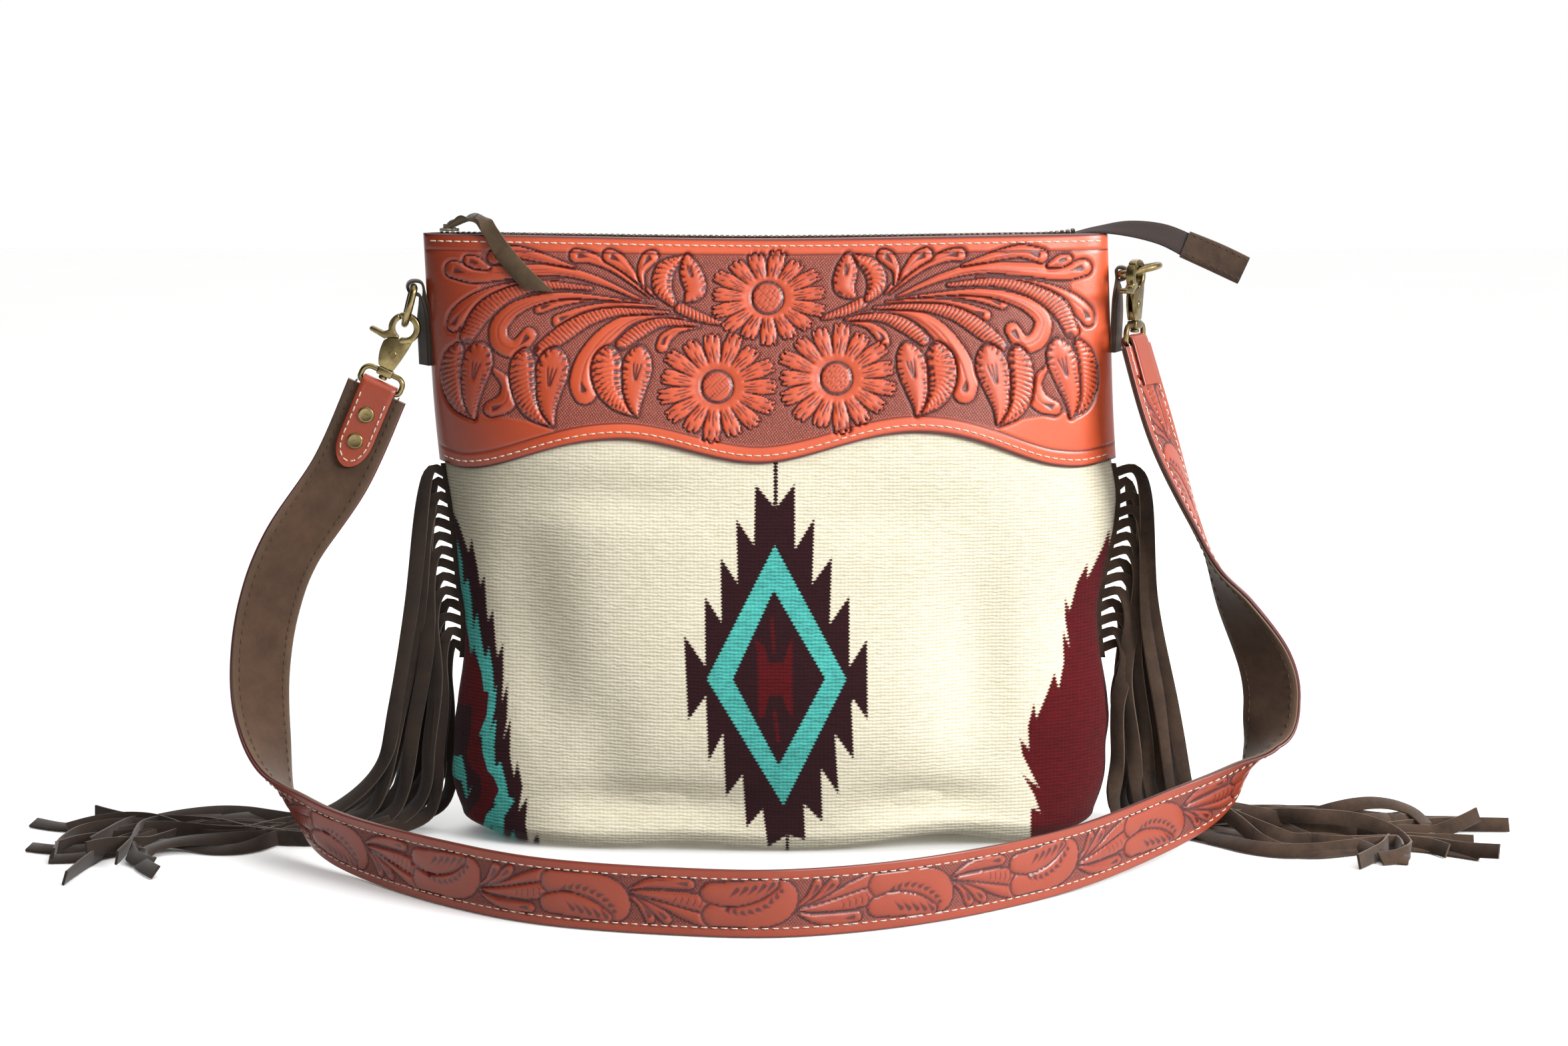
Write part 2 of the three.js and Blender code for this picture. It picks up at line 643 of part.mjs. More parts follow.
// The hook's fixed part: forked cheeks, the bent hook, the pivot pin and the swivel post
function hookBody() {
  const cheeks = new THREE.Shape();
  cheeks.moveTo(-3.9, 2.6);
  cheeks.lineTo(5, 2.6);
  cheeks.quadraticCurveTo(8.6, 9, SHOULDER_RADIUS * Math.cos(radians(35)), PIVOT_RISE + SHOULDER_RADIUS * Math.sin(radians(35)));
  cheeks.absarc(0, PIVOT_RISE, SHOULDER_RADIUS, radians(35), radians(100), false);
  cheeks.lineTo(-7.2, 22.6);
  cheeks.quadraticCurveTo(-6.6, 13, -3.9, 2.6);
  const bend = sector(EYE_RISE, EYE_INNER, EYE_OUTER, 48.5, 268);
  const pin = new THREE.CylinderGeometry(PIN_RADIUS, PIN_RADIUS, HOOK_THICK, 10).rotateX(Math.PI / 2);
  const heads = new THREE.CylinderGeometry(PIN_HEAD, PIN_HEAD, 0.9, 10).rotateX(Math.PI / 2);
  const headLift = HOOK_THICK / 2 + 0.15;
  const post = new THREE.CylinderGeometry(POST_RADIUS, POST_RADIUS, 8, 10).translate(0, -0.4, 0);
  const postHead = new THREE.CylinderGeometry(POST_HEAD, POST_HEAD, 1.8, 10).translate(0, -3.5, 0);
  const slot = fuse([extrude(sector(PIVOT_RISE, 0, 13, -30, 115), SLOT_THICK), extrude(disc(PIVOT_RISE, 3.1), SLOT_THICK)]);
  const body = fuse([extrude(cheeks, HOOK_THICK, 5), extrude(bend, HOOK_THICK, 14)]).subtract(slot);
  const added = fuse([
    pin.translate(0, PIVOT_RISE, 0),
    heads.clone().translate(0, PIVOT_RISE, headLift),
    heads.clone().translate(0, PIVOT_RISE, -headLift),
    post,
    postHead,
  ]);
  return fromManifold(body.add(added));
}

// The sprung gate with its thumb lever, and the tang that turns on the pivot pin
function trigger() {
  const footStart = radians(38.7);
  const footEnd = radians(86);
  const gate = new THREE.Shape();
  gate.absarc(0, EYE_RISE, EYE_OUTER, radians(45), radians(-30), true);
  gate.lineTo(10, 21.5);
  gate.lineTo(16.8, 21.6);
  gate.absarc(16.8, 20.2, 1.4, radians(90), radians(-90), true);
  gate.lineTo(9.4, 18);
  gate.absarc(0, PIVOT_RISE, FOOT_RADIUS, footStart, footEnd, false);
  gate.absarc(0, EYE_RISE, EYE_INNER, radians(-75), radians(45), false);
  const tang = fuse([
    extrude(sector(PIVOT_RISE, 0, FOOT_RADIUS + 0.8, 48, 84), TANG_THICK, 5),
    extrude(disc(PIVOT_RISE, 2.6), TANG_THICK, 6),
  ]);
  const hole = new THREE.CylinderGeometry(PIN_RADIUS + GAP, PIN_RADIUS + GAP, HOOK_THICK, 10);
  const bore = toManifold(hole.rotateX(Math.PI / 2).translate(0, PIVOT_RISE, 0));
  return fromManifold(toManifold(extrude(gate, HOOK_THICK, 7)).add(tang).subtract(bore));
}

// The wire loop that carries the strap's end, with the collar that turns on the post
function swivelLoop() {
  const top = 4.7;
  const bottom = 2.4;
  const shape = new THREE.Shape();
  shape.moveTo(-LOOP_HALF_WIDTH + bottom, -LOOP_DROP);
  shape.lineTo(LOOP_HALF_WIDTH - bottom, -LOOP_DROP);
  shape.absarc(LOOP_HALF_WIDTH - bottom, bottom - LOOP_DROP, bottom, -Math.PI / 2, 0, false);
  shape.absarc(LOOP_HALF_WIDTH - top, -top, top, 0, Math.PI / 2, false);
  shape.absarc(top - LOOP_HALF_WIDTH, -top, top, Math.PI / 2, Math.PI, false);
  shape.absarc(bottom - LOOP_HALF_WIDTH, bottom - LOOP_DROP, bottom, Math.PI, 1.5 * Math.PI, false);
  const wire = wireLoop(outlinePoints(shape, 3), LOOP_WIRE, 6);
  const collar = new THREE.BoxGeometry(COLLAR.width, COLLAR.height, COLLAR.depth);
  const bore = new THREE.CylinderGeometry(POST_RADIUS + GAP, POST_RADIUS + GAP, 4 * LOOP_WIRE, 10);
  return fromManifold(fuse([wire, collar]).subtract(toManifold(bore)));
}

// The directions and places of one end, worked out from its row
function endLayout(end) {
  const turn = radians(end.turnDeg);
  const lean = radians(end.leanDeg);
  const up = vec(0, 0, 1);
  const barWay = vec(-Math.sin(turn), Math.cos(turn), 0);
  const out = vec(end.outward * Math.cos(turn), end.outward * Math.sin(turn), 0);
  const bar = vec(...end.bar);
  const tabUp = out.clone().multiplyScalar(Math.sin(lean)).addScaledVector(up, Math.cos(lean));
  const ringWay = out.clone().multiplyScalar(end.ringOut).addScaledVector(up, end.ringUp).normalize();
  const eye = bar.clone().addScaledVector(ringWay, end.eyeAlongRing).addScaledVector(barWay, end.eyeAcross);
  eye.z -= EYE_DROP;
  const axis = vec(...end.axis).normalize();
  const across = vec(...end.across).normalize();
  const collar = eye.clone().addScaledVector(axis, -EYE_RISE);
  const loopBar = collar.clone().addScaledVector(axis, -LOOP_DROP);
  const down = vec(...end.strapDown).normalize();
  const along = end.strapEnd === 0 ? down.clone() : down.clone().negate();
  const normal = along.cross(across);
  const strapTop = loopBar.clone().addScaledVector(down, STRAP_BELOW_BAR).addScaledVector(normal, -STRAP_MIDDLE_OFFSET);
  return { barWay, bar, tabUp, ringWay, axis, across, collar, loopBar, down, normal, strapTop };
}

const END_ROWS = { left: LEFT_END, right: RIGHT_END };
const ends = { left: endLayout(LEFT_END), right: endLayout(RIGHT_END) };

for (const [side, layout] of Object.entries(ends)) {
  const tabGroup = turnedGroup(layout.bar, layout.tabUp.clone().cross(layout.barWay), layout.tabUp, layout.barWay);
  place(`${side}_ring_tab`, ringTab(END_ROWS[side]), 'suede', tabGroup);
  const ringGroup = turnedGroup(layout.bar, layout.barWay, layout.ringWay, layout.barWay.clone().cross(layout.ringWay));
  place(`${side}_ring`, wireLoop(ringOutline(), RING_WIRE, 6), 'brass', ringGroup);
  const hookGroup = turnedGroup(layout.collar, layout.across, layout.axis, layout.across.clone().cross(layout.axis));
  place(`${side}_hook`, hookBody(), 'brass', hookGroup);
  place(`${side}_trigger`, trigger(), 'brass', hookGroup);
  place(`${side}_swivel_loop`, swivelLoop(), 'brass', hookGroup);
}

// The strap

// Two rows of the strap's route at one end: where it starts, and where its straight ends
function strapEndRows({ strapTop, down, across }) {
  return [0, STRAP_STRAIGHT].map((reach) => {
    const { x, y, z } = strapTop.clone().addScaledVector(down, reach);
    return { x, y, z, wx: across.x, wy: across.y, wz: across.z };
  });
}

const strapRoute = [...strapEndRows(ends.left), ...STRAP_ROUTE, ...strapEndRows(ends.right).reverse()];
const strapSteps = (strapRoute.length - 1) * STRAP_STEPS_PER_ROW;
const leatherFace = GAP / 2 + STRAP_LEATHER;
const suedeFace = GAP / 2 + STRAP_SUEDE;
place('strap_leather', strip(strapRoute, {
  steps: strapSteps,
  half: STRAP_WIDTH / 2,
  thick: STRAP_LEATHER,
  lift: leatherFace - STRAP_LEATHER / 2,
}), 'leather');
place('strap_suede', strip(strapRoute, {
  steps: strapSteps,
  half: STRAP_WIDTH / 2 - STRAP_SUEDE_INSET,
  thick: STRAP_SUEDE,
  lift: STRAP_SUEDE / 2 - suedeFace,
}), 'suede');

// A narrow leather end folded round the swivel loop's bar, with a short leg behind the
// strap and a long round-tipped leg on its suede face
function strapTab(end, layout) {
  const last = strapRoute.length - 1;
  const frameFromEnd = (rows) => frameAt(strapRoute, end.strapEnd === 0 ? rows : last - rows);
  const behind = leatherFace + GAP + TAB_THICK / 2;
  const front = -(suedeFace + GAP + TAB_THICK / 2);
  const foldRadius = (behind - front) / 2;
  const half = TAB_WIDTH / 2;
  const sections = [];
  const addLeg = (rows, lift, reach) => {
    const { point, across, normal } = frameFromEnd(rows);
    const thick = normal.clone().multiplyScalar((Math.sign(lift) * TAB_THICK) / 2);
    sections.push(stripSection(point.addScaledVector(normal, lift), across.multiplyScalar(reach), thick));
  };
  for (const share of [1, 0.66, 0.33, 0]) addLeg(TAB_BACK_ROWS * share, behind, half);
  for (let i = 0; i <= 6; i += 1) {
    const angle = (Math.PI * i) / 6;
    const out = layout.normal.clone().multiplyScalar(Math.cos(angle)).addScaledVector(layout.down, -Math.sin(angle));
    const point = layout.loopBar.clone().addScaledVector(out, foldRadius);
    sections.push(stripSection(point, layout.across.clone().multiplyScalar(half), out.multiplyScalar(TAB_THICK / 2)));
  }
  for (const share of [0, 0.25, 0.5, 0.68]) addLeg(TAB_TIP_ROWS * share, front, half);
  for (const angle of [0, 25, 50, 72, 86]) {
    const share = 0.68 + 0.32 * Math.sin(radians(angle));
    addLeg(TAB_TIP_ROWS * share, front, half * Math.cos(radians(angle)));
  }
  return loft(sections.filter((_, i) => i !== 14));
}

// A low domed cap on the front leg of a strap end
function rivetCap() {
  const profile = [
    new THREE.Vector2(0, 0),
    new THREE.Vector2(RIVET_RADIUS, 0),
    new THREE.Vector2(RIVET_RADIUS, RIVET_HEIGHT * 0.55),
    new THREE.Vector2(RIVET_RADIUS * 0.75, RIVET_HEIGHT),
    new THREE.Vector2(0, RIVET_HEIGHT),
  ];
  return solidOfRevolution(profile, 14);
}

// A lathe whose poles are single points
function solidOfRevolution(profile, sides) {
  const bare = new THREE.LatheGeometry(profile, sides);
  bare.deleteAttribute('normal');
  bare.deleteAttribute('uv');
  const merged = mergeVertices(bare, 1e-4);
  const { array } = merged.attributes.position;
  const points = Array.from({ length: array.length / 3 }, (_, i) => vec(array[3 * i], array[3 * i + 1], array[3 * i + 2]));
  const corners = Array.from(merged.index.array);
  const faces = Array.from({ length: corners.length / 3 }, (_, i) => corners.slice(3 * i, 3 * i + 3));
  return solid(points, faces.filter((face) => new Set(face).size === 3));
}

for (const [side, end] of Object.entries(END_ROWS)) {
  place(`${side}_strap_tab`, strapTab(end, ends[side]), 'leather');
  for (const [level, rows] of Object.entries(RIVET_ROWS)) {
    const last = strapRoute.length - 1;
    const frame = frameAt(strapRoute, end.strapEnd === 0 ? rows : last - rows);
    const face = suedeFace + GAP + TAB_THICK + GAP;
    const seat = frame.point.addScaledVector(frame.normal, -face);
    const outward = frame.normal.clone().negate();
    const rivetGroup = turnedGroup(seat, frame.across, outward, frame.across.clone().cross(outward));
    place(`${side}_rivet_${level}`, rivetCap(), 'brass', rivetGroup);
  }
}

// The fringe

// One strip's route: out of the seam, over, down to the floor and along it
function fringeRoute(index, outward, fanDeg) {
  const seamZ = FRINGE_TOP - index * FRINGE_PITCH;
  const seamX = bagPoint(outward, seamZ, -1).x;
  const baseX = bagPoint(outward, 20, -1).x;
  const reach = 15 + 4 * scatter(index, 1);
  const landX = baseX + outward * (12 + 4.4 * (FRINGE_COUNT - 1 - index));
  const landY = 20 * (scatter(index, 3) - 0.5);
  const floorZ = GAP + FRINGE_THICK / 2 + 1.7 * (index % 3);
  const run = FRINGE_LENGTH - reach - seamZ;
  const fan = radians(fanDeg);
  const sway = (share) => 9 * Math.sin(share * 5 + 6 * scatter(index, 4)) * share;
  const onFloor = (share) => ({
    x: landX + outward * (run * share * Math.cos(fan) + sway(share) * Math.sin(fan)),
    y: landY - run * share * Math.sin(fan) + sway(share) * Math.cos(fan),
    z: floorZ,
    wx: 0,
    wy: 1,
    wz: 0,
  });
  return [
    { x: seamX + outward * 4, y: 0, z: seamZ, wx: 0, wy: 0, wz: 1 },
    { x: seamX + outward * reach * 0.75, y: landY * 0.1, z: seamZ + 2, wx: 0, wy: 0.4, wz: 0.9 },
    { x: seamX + outward * reach, y: landY * 0.3, z: seamZ - 16, wx: 0.35 * outward, wy: 0.9, wz: 0.2 },
    { x: (seamX + landX) / 2 + outward * 8, y: landY * 0.7, z: seamZ * 0.5, wx: 0.3 * outward, wy: 0.95, wz: 0 },
    { x: landX - outward * 3, y: landY, z: 16 + floorZ, wx: 0.2 * outward, wy: 1, wz: 0 },
    onFloor(0.16),
    onFloor(0.58),
    onFloor(1),
  ];
}

// The strip sewn into the seam, from which the fringe is cut
function fringeBacking(outward) {
  const sections = SEAM_HEIGHTS.map((z) => {
    const middle = vec(bagPoint(outward, z, -1).x + outward * (GAP + FRINGE_BACKING / 2), 0, z);
    return stripSection(middle, vec(FRINGE_BACKING / 2, 0, 0), vec(0, FRINGE_THICK / 2, 0));
  });
  return loft(sections);
}

// All strips of one side; where they cross, the small pockets between them are filled
function fringe(outward, fans) {
  const strips = fans.map((fan, index) => {
    const rows = fringeRoute(index, outward, fan);
    const steps = (rows.length - 1) * FRINGE_STEPS_PER_ROW;
    return strip(rows, { steps, half: FRINGE_WIDTH / 2, thick: FRINGE_THICK });
  });
  const shells = fuse([fringeBacking(outward), ...strips]).decompose();
  const outside = shells.reduce((best, shell) => (shell.volume() > best.volume() ? shell : best));
  return fromManifold(outside);
}

place('left_fringe', fringe(-1, LEFT_FAN_DEG), 'suede');
place('right_fringe', fringe(1, RIGHT_FAN_DEG), 'suede');

export default bag;
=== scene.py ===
"""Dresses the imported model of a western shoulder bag.

The bag stands on the floor: a tooled leather yoke over a woven wool body, a zip, suede
fringe in the side seams, and a tooled strap on two trigger snap hooks, laid in front.
Sizes are millimetres in the model's own frame and become metres when a mesh is placed.
"""

from __future__ import annotations

import logging
import math
from dataclasses import dataclass, field
from enum import Enum
from typing import Callable, Sequence

import bpy
import numpy as np
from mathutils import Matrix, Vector


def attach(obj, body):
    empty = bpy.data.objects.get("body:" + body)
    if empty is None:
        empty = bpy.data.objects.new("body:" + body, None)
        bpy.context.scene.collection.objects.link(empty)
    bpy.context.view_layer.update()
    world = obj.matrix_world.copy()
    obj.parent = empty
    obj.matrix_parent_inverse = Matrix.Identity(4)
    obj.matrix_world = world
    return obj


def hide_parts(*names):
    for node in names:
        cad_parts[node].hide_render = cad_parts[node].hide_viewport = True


LOG = logging.getLogger("purse")
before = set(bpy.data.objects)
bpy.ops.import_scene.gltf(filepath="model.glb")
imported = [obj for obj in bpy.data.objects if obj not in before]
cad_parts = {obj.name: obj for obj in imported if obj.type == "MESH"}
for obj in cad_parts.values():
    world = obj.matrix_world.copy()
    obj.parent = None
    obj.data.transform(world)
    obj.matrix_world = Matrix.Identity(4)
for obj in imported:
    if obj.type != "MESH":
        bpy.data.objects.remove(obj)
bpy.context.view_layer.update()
MM = 0.001
BODY = "bag"
Array = np.ndarray
Piece = bpy.types.Object
Outline = Sequence[tuple[float, float]]
Rows = tuple[tuple[float, ...], ...]
Inputs = dict[str | int, object]
Path = tuple[tuple[float, float, float], ...]
EYE = (10.0, -1500.0, 430.0)
# A wave texture at scale 1 has a band every 0.314 m.
BAND = 0.314


def linear(colour: str) -> tuple[float, float, float, float]:
    """Turns an sRGB hex colour to linear.

    Args:
        colour: the colour as "#rrggbb".

    Returns:
        Linear red, green and blue, and an alpha of 1.
    """
    parts = [int(colour[i : i + 2], 16) / 255 for i in (1, 3, 5)]
    values = [p / 12.92 if p <= 0.04045 else ((p + 0.055) / 1.055) ** 2.4 for p in parts]
    return (values[0], values[1], values[2], 1.0)


class NodeSheet:
    """The node tree of a material, or of the studio's air, while it is drawn."""

    def __init__(self, owner: bpy.types.Material | bpy.types.World) -> None:
        """Starts the owner's tree."""
        owner.use_nodes = True
        self.owner = owner
        self.tree = owner.node_tree

    @property
    def place(self) -> bpy.types.NodeSocket:
        """Gives the piece's Object coordinates."""
        return self.add("ShaderNodeTexCoord", {}, "Object")

    def fill(self, node: bpy.types.Node, inputs: Inputs) -> None:
        """Sets a node's inputs.

        Args:
            node: the node.
            inputs: values or sockets, by the name or place of the input.
        """
        for key, value in inputs.items():
            if isinstance(value, bpy.types.NodeSocket):
                self.tree.links.new(value, node.inputs[key])
            else:
                node.inputs[key].default_value = value

    def add(self, kind: str, inputs: Inputs, out: str | int = 0, **settings: object) -> bpy.types.NodeSocket:
        """Adds a node with its settings and links.

        Args:
            kind: the node's type name.
            inputs: values or sockets for its inputs, by name or place.
            out: the name or place of the output that is wanted.
            settings: the node's own properties.

        Returns:
            The output.
        """
        node = self.tree.nodes.new(kind)
        for name, value in settings.items():
            setattr(node, name, value)
        self.fill(node, inputs)
        return node.outputs[out]

    def paint_left_shade(
        self, colour: bpy.types.NodeSocket, shade: str, share: float, reach: tuple[float, float]
    ) -> bpy.types.NodeSocket:
        """Darkens a colour toward the left side as painted shade, where the light is dim.

        Args:
            colour: the colour so far.
            shade: the colour of the painted shade.
            share: how much of the shade there is at the side.
            reach: where the shade is full and where it ends, in millimetres across.

        Returns:
            The new colour.
        """
        across = self.add("ShaderNodeSeparateXYZ", {"Vector": self.place}, "X")
        ramp = {
            "Value": across, "From Min": reach[0] * MM, "From Max": reach[1] * MM, "To Min": share,
            "To Max": 0.0
        }
        part = self.add("ShaderNodeMapRange", ramp, interpolation_type="SMOOTHSTEP")
        # painted shade: the colour mixes toward the shade colour at the left side
        return self.add("ShaderNodeMix", {0: part, 6: colour, 7: linear(shade)}, 2, data_type="RGBA")

    def surface(self, inputs: Inputs) -> bpy.types.Material:
        """Fills in the surface shader and gives the finished material."""
        self.fill(self.tree.nodes["Principled BSDF"], inputs)
        return self.owner


@dataclass(frozen=True)
class TooledLeather:
    """Veg-tanned cowhide, cut, bevelled and stained: satin figures over a matted dark ground."""

    name: str
    light: str = "#ec673c"
    dark: str = "#c64c2a"
    ground: str = "#bd604a"
    stain: str = "#44191c"
    # the colour of antique stain and of the painted shade inside the carved shapes
    antique: str = "#8f3524"
    # how strongly painted shade darkens the left side
    left_shade: float = 0.0
    pit: str = "#6f352d"
    pore_mm: float = 0.5
    mat_mm: float = 1.3

    def material(self) -> bpy.types.Material:
        """Makes the material, which reads the attributes stain and ground from the piece."""
        sheet = NodeSheet(bpy.data.materials.new(self.name))
        place = sheet.place
        cloud = sheet.add(
            "ShaderNodeTexNoise", {"Vector": place, "Scale": 22.0, "Detail": 5.0, "Roughness": 0.6}, "Fac"
        )
        tan = {0: cloud, 6: linear(self.dark), 7: linear(self.light)}
        hide = sheet.add("ShaderNodeMix", tan, 2, data_type="RGBA")
        # painted shade: the hide darkens toward the left side
        hide = sheet.paint_left_shade(hide, "#5e1d10", self.left_shade, (-200.0, -85.0))
        matted = sheet.add("ShaderNodeAttribute", {}, "Fac", attribute_name="ground")
        soaked = sheet.add("ShaderNodeAttribute", {}, "Fac", attribute_name="stain")
        ramp = {"Value": soaked, "From Min": 0.3, "From Max": 0.72, "To Max": 0.85}
        dark = sheet.add("ShaderNodeMapRange", ramp, interpolation_type="SMOOTHSTEP")
        # low stain values, from antique stain by the cuts and painted shade inside the shapes, deepen the
        # hide toward the antique colour
        antique_and_shade = sheet.add("ShaderNodeMapRange", {"Value": soaked, "From Max": 0.5, "To Max": 0.6})
        hide = sheet.add("ShaderNodeMix", {0: antique_and_shade, 6: hide, 7: linear(self.antique)}, 2, data_type="RGBA")
        hatch = []
        for turn in (0.6, -0.8):
            turned = sheet.add("ShaderNodeMapping", {"Vector": place, "Rotation": (0.0, turn, 0.0)})
            wave = {
                "Vector": turned, "Scale": BAND / (self.mat_mm * MM), "Distortion": 3.0, "Detail Scale": 4.0
            }
            hatch.append(sheet.add("ShaderNodeTexWave", wave, "Fac"))
        cross = sheet.add("ShaderNodeMath", {0: hatch[0], 1: hatch[1]}, operation="MULTIPLY")
        mat = sheet.add("ShaderNodeMapRange", {"Value": cross, "From Min": 0.04, "From Max": 0.5})
        pressed = {0: mat, 6: linear(self.pit), 7: linear(self.ground)}
        dotted = sheet.add("ShaderNodeMix", pressed, 2, data_type="RGBA")
        figure = sheet.add("ShaderNodeMix", {0: matted, 6: hide, 7: dotted}, 2, data_type="RGBA")
        stained = sheet.add(
            "ShaderNodeMix", {0: dark, 6: figure, 7: linear(self.stain)}, 2, data_type="RGBA"
        )
        pores = sheet.add("ShaderNodeTexVoronoi", {"Vector": place, "Scale": 1 / (2 * self.pore_mm * MM)})
        low = sheet.add("ShaderNodeMath", {0: mat, 1: matted}, operation="MULTIPLY")
        height = sheet.add("ShaderNodeMath", {0: pores, 1: 0.12, 2: low}, operation="MULTIPLY_ADD")
        bump = sheet.add("ShaderNodeBump", {"Height": height, "Strength": 0.5, "Distance": 0.5 * MM})
        rough = sheet.add("ShaderNodeMapRange", {"Value": matted, "To Min": 0.34, "To Max": 0.7})
        look = {"Base Color": stained, "Roughness": rough, "Normal": bump, "IOR": 1.48}
        return sheet.surface({**look, "Coat Weight": 0.16, "Coat Roughness": 0.26})


@dataclass(frozen=True)
class Suede:
    """Split leather with its nap raised: matt and cloudy, with paler cut edges."""

    name: str
    light: str = "#55432f"
    dark: str = "#382b1f"
    edge: str = "#7d6a52"
    # how strongly painted shade darkens the left side
    left_shade: float = 0.0
    nap_mm: float = 0.8

    def material(self) -> bpy.types.Material:
        """Makes the material, which reads the attribute cut_edge from the piece."""
        sheet = NodeSheet(bpy.data.materials.new(self.name))
        place = sheet.place
        cloud = sheet.add(
            "ShaderNodeTexNoise", {"Vector": place, "Scale": 60.0, "Detail": 6.0, "Roughness": 0.7}, "Fac"
        )
        spread = sheet.add("ShaderNodeMapRange", {"Value": cloud, "From Min": 0.3, "From Max": 0.7})
        hair = {"Vector": place, "Scale": 1 / (self.nap_mm * MM), "Detail": 3.0}
        nap = sheet.add("ShaderNodeTexNoise", hair, "Fac")
        tan = {0: spread, 6: linear(self.dark), 7: linear(self.light)}
        body = sheet.add("ShaderNodeMix", tan, 2, data_type="RGBA")
        cut = sheet.add("ShaderNodeAttribute", {}, "Fac", attribute_name="cut_edge")
        colour = sheet.add("ShaderNodeMix", {0: cut, 6: body, 7: linear(self.edge)}, 2, data_type="RGBA")
        # painted shade: the suede darkens toward the left side
        colour = sheet.paint_left_shade(colour, "#17100c", self.left_shade, (-150.0, 0.0))
        bump = sheet.add("ShaderNodeBump", {"Height": nap, "Strength": 0.45, "Distance": 0.4 * MM})
        look = {"Base Color": colour, "Normal": bump, "Roughness": 0.92, "Specular IOR Level": 0.2}
        return sheet.surface({**look, "Sheen Weight": 0.25, "Sheen Roughness": 0.5})


@dataclass(frozen=True)
class BlanketWool:
    """Hand-woven saddle-blanket wool: ribbed cream rows with yarn-dyed figures and a soft nap.

    The real rows are about 1.3 mm apart. They are drawn coarser, so that they show.
    """

    name: str
    cream: str = "#f3ebd3"
    shade: str = "#d9cfb2"
    brown: str = "#311117"
    turquoise: str = "#58cabf"
    red: str = "#600c13"
    # how strongly painted shade darkens the left side
    left_shade: float = 0.5
    row_mm: float = 2.0
    yarn_mm: float = 2.3

    def material(self) -> bpy.types.Material:
        """Makes the material; the attributes brown, turquoise and red are distances in mm."""
        sheet = NodeSheet(bpy.data.materials.new(self.name))
        place = sheet.place
        waves = []
        for way, spacing, loose in (("Z", self.row_mm, 2.6), ("X", self.yarn_mm, 2.2)):
            thread = {"Vector": place, "Scale": BAND / (spacing * MM), "Distortion": loose}
            thread.update({"Detail": 3.0, "Detail Scale": 1.6})
            waves.append(sheet.add("ShaderNodeTexWave", thread, "Fac", bands_direction=way))
        rows, warp = waves
        hair = {"Vector": place, "Scale": 900.0, "Detail": 4.0, "Roughness": 0.7}
        fuzz = sheet.add("ShaderNodeTexNoise", hair, "Fac")
        along = sheet.add("ShaderNodeMapping", {"Vector": place, "Scale": (0.3, 0.3, 1.0)})
        uneven = {"Vector": along, "Scale": 1 / (self.row_mm * MM), "Detail": 3.0}
        slub = sheet.add("ShaderNodeTexNoise", uneven, "Fac")
        weave = sheet.add("ShaderNodeMath", {0: warp, 1: 0.3, 2: rows}, operation="MULTIPLY_ADD")
        tone = sheet.add("ShaderNodeMath", {0: slub, 1: 2.2, 2: weave}, operation="MULTIPLY_ADD")
        lit = sheet.add("ShaderNodeMapRange", {"Value": tone, "From Min": 0.7, "From Max": 2.3})
        plain = {0: lit, 6: linear(self.shade), 7: linear(self.cream)}
        colour = sheet.add("ShaderNodeMix", plain, 2, data_type="RGBA")
        # painted shade: the cream darkens toward the left side, before the figures are laid on
        colour = sheet.paint_left_shade(colour, "#6f6a58", self.left_shade, (-196.0, -110.0))
        ragged = sheet.add("ShaderNodeMath", {0: rows, 1: 0.9, 2: -0.45}, operation="MULTIPLY_ADD")
        dips = {"Value": tone, "From Min": 0.9, "From Max": 2.4, "To Min": 0.55, "To Max": 0.0}
        deep = sheet.add("ShaderNodeMapRange", dips)
        for figure, dye in (("brown", self.brown), ("turquoise", self.turquoise), ("red", self.red)):
            inside = sheet.add("ShaderNodeAttribute", {}, "Fac", attribute_name=figure)
            edge = sheet.add("ShaderNodeMath", {0: inside, 1: ragged}, operation="ADD")
            mask = sheet.add("ShaderNodeMapRange", {"Value": edge, "From Min": -0.35, "From Max": 0.35})
            dipped = {0: deep, 6: linear(dye), 7: linear("#140709")}
            yarn = sheet.add("ShaderNodeMix", dipped, 2, data_type="RGBA")
            colour = sheet.add("ShaderNodeMix", {0: mask, 6: colour, 7: yarn}, 2, data_type="RGBA")
        height = sheet.add("ShaderNodeMath", {0: fuzz, 1: 0.6, 2: tone}, operation="MULTIPLY_ADD")
        bump = sheet.add("ShaderNodeBump", {"Height": height, "Strength": 0.4, "Distance": 0.5 * MM})
        look = {"Base Color": colour, "Normal": bump, "Roughness": 0.95, "Specular IOR Level": 0.15}
        return sheet.surface({**look, "Sheen Weight": 0.06, "Sheen Roughness": 0.6})


@dataclass(frozen=True)
class CastBrass:
    """Cast brass with an antique patina: warm bright wear over brown-black low places."""

    name: str
    bright: str = "#97875d"
    dull: str = "#584a31"
    patch_mm: float = 14.0
    rough: float = 0.24

    def material(self) -> bpy.types.Material:
        """Makes the material from cloudy tarnish over a polished casting."""
        sheet = NodeSheet(bpy.data.materials.new(self.name))
        patches = {
            "Vector": sheet.place, "Scale": 1 / (self.patch_mm * MM), "Detail": 6.0, "Roughness": 0.65
        }
        cloud = sheet.add("ShaderNodeTexNoise", patches, "Fac")
        spread = sheet.add("ShaderNodeMapRange", {"Value": cloud, "From Min": 0.35, "From Max": 0.62})
        metal = {0: spread, 6: linear(self.dull), 7: linear(self.bright)}
        colour = sheet.add("ShaderNodeMix", metal, 2, data_type="RGBA")
        dulled = {"Value": spread, "To Min": self.rough + 0.2, "To Max": self.rough}
        rough = sheet.add("ShaderNodeMapRange", dulled)
        return sheet.surface({"Base Color": colour, "Roughness": rough, "Metallic": 1.0})


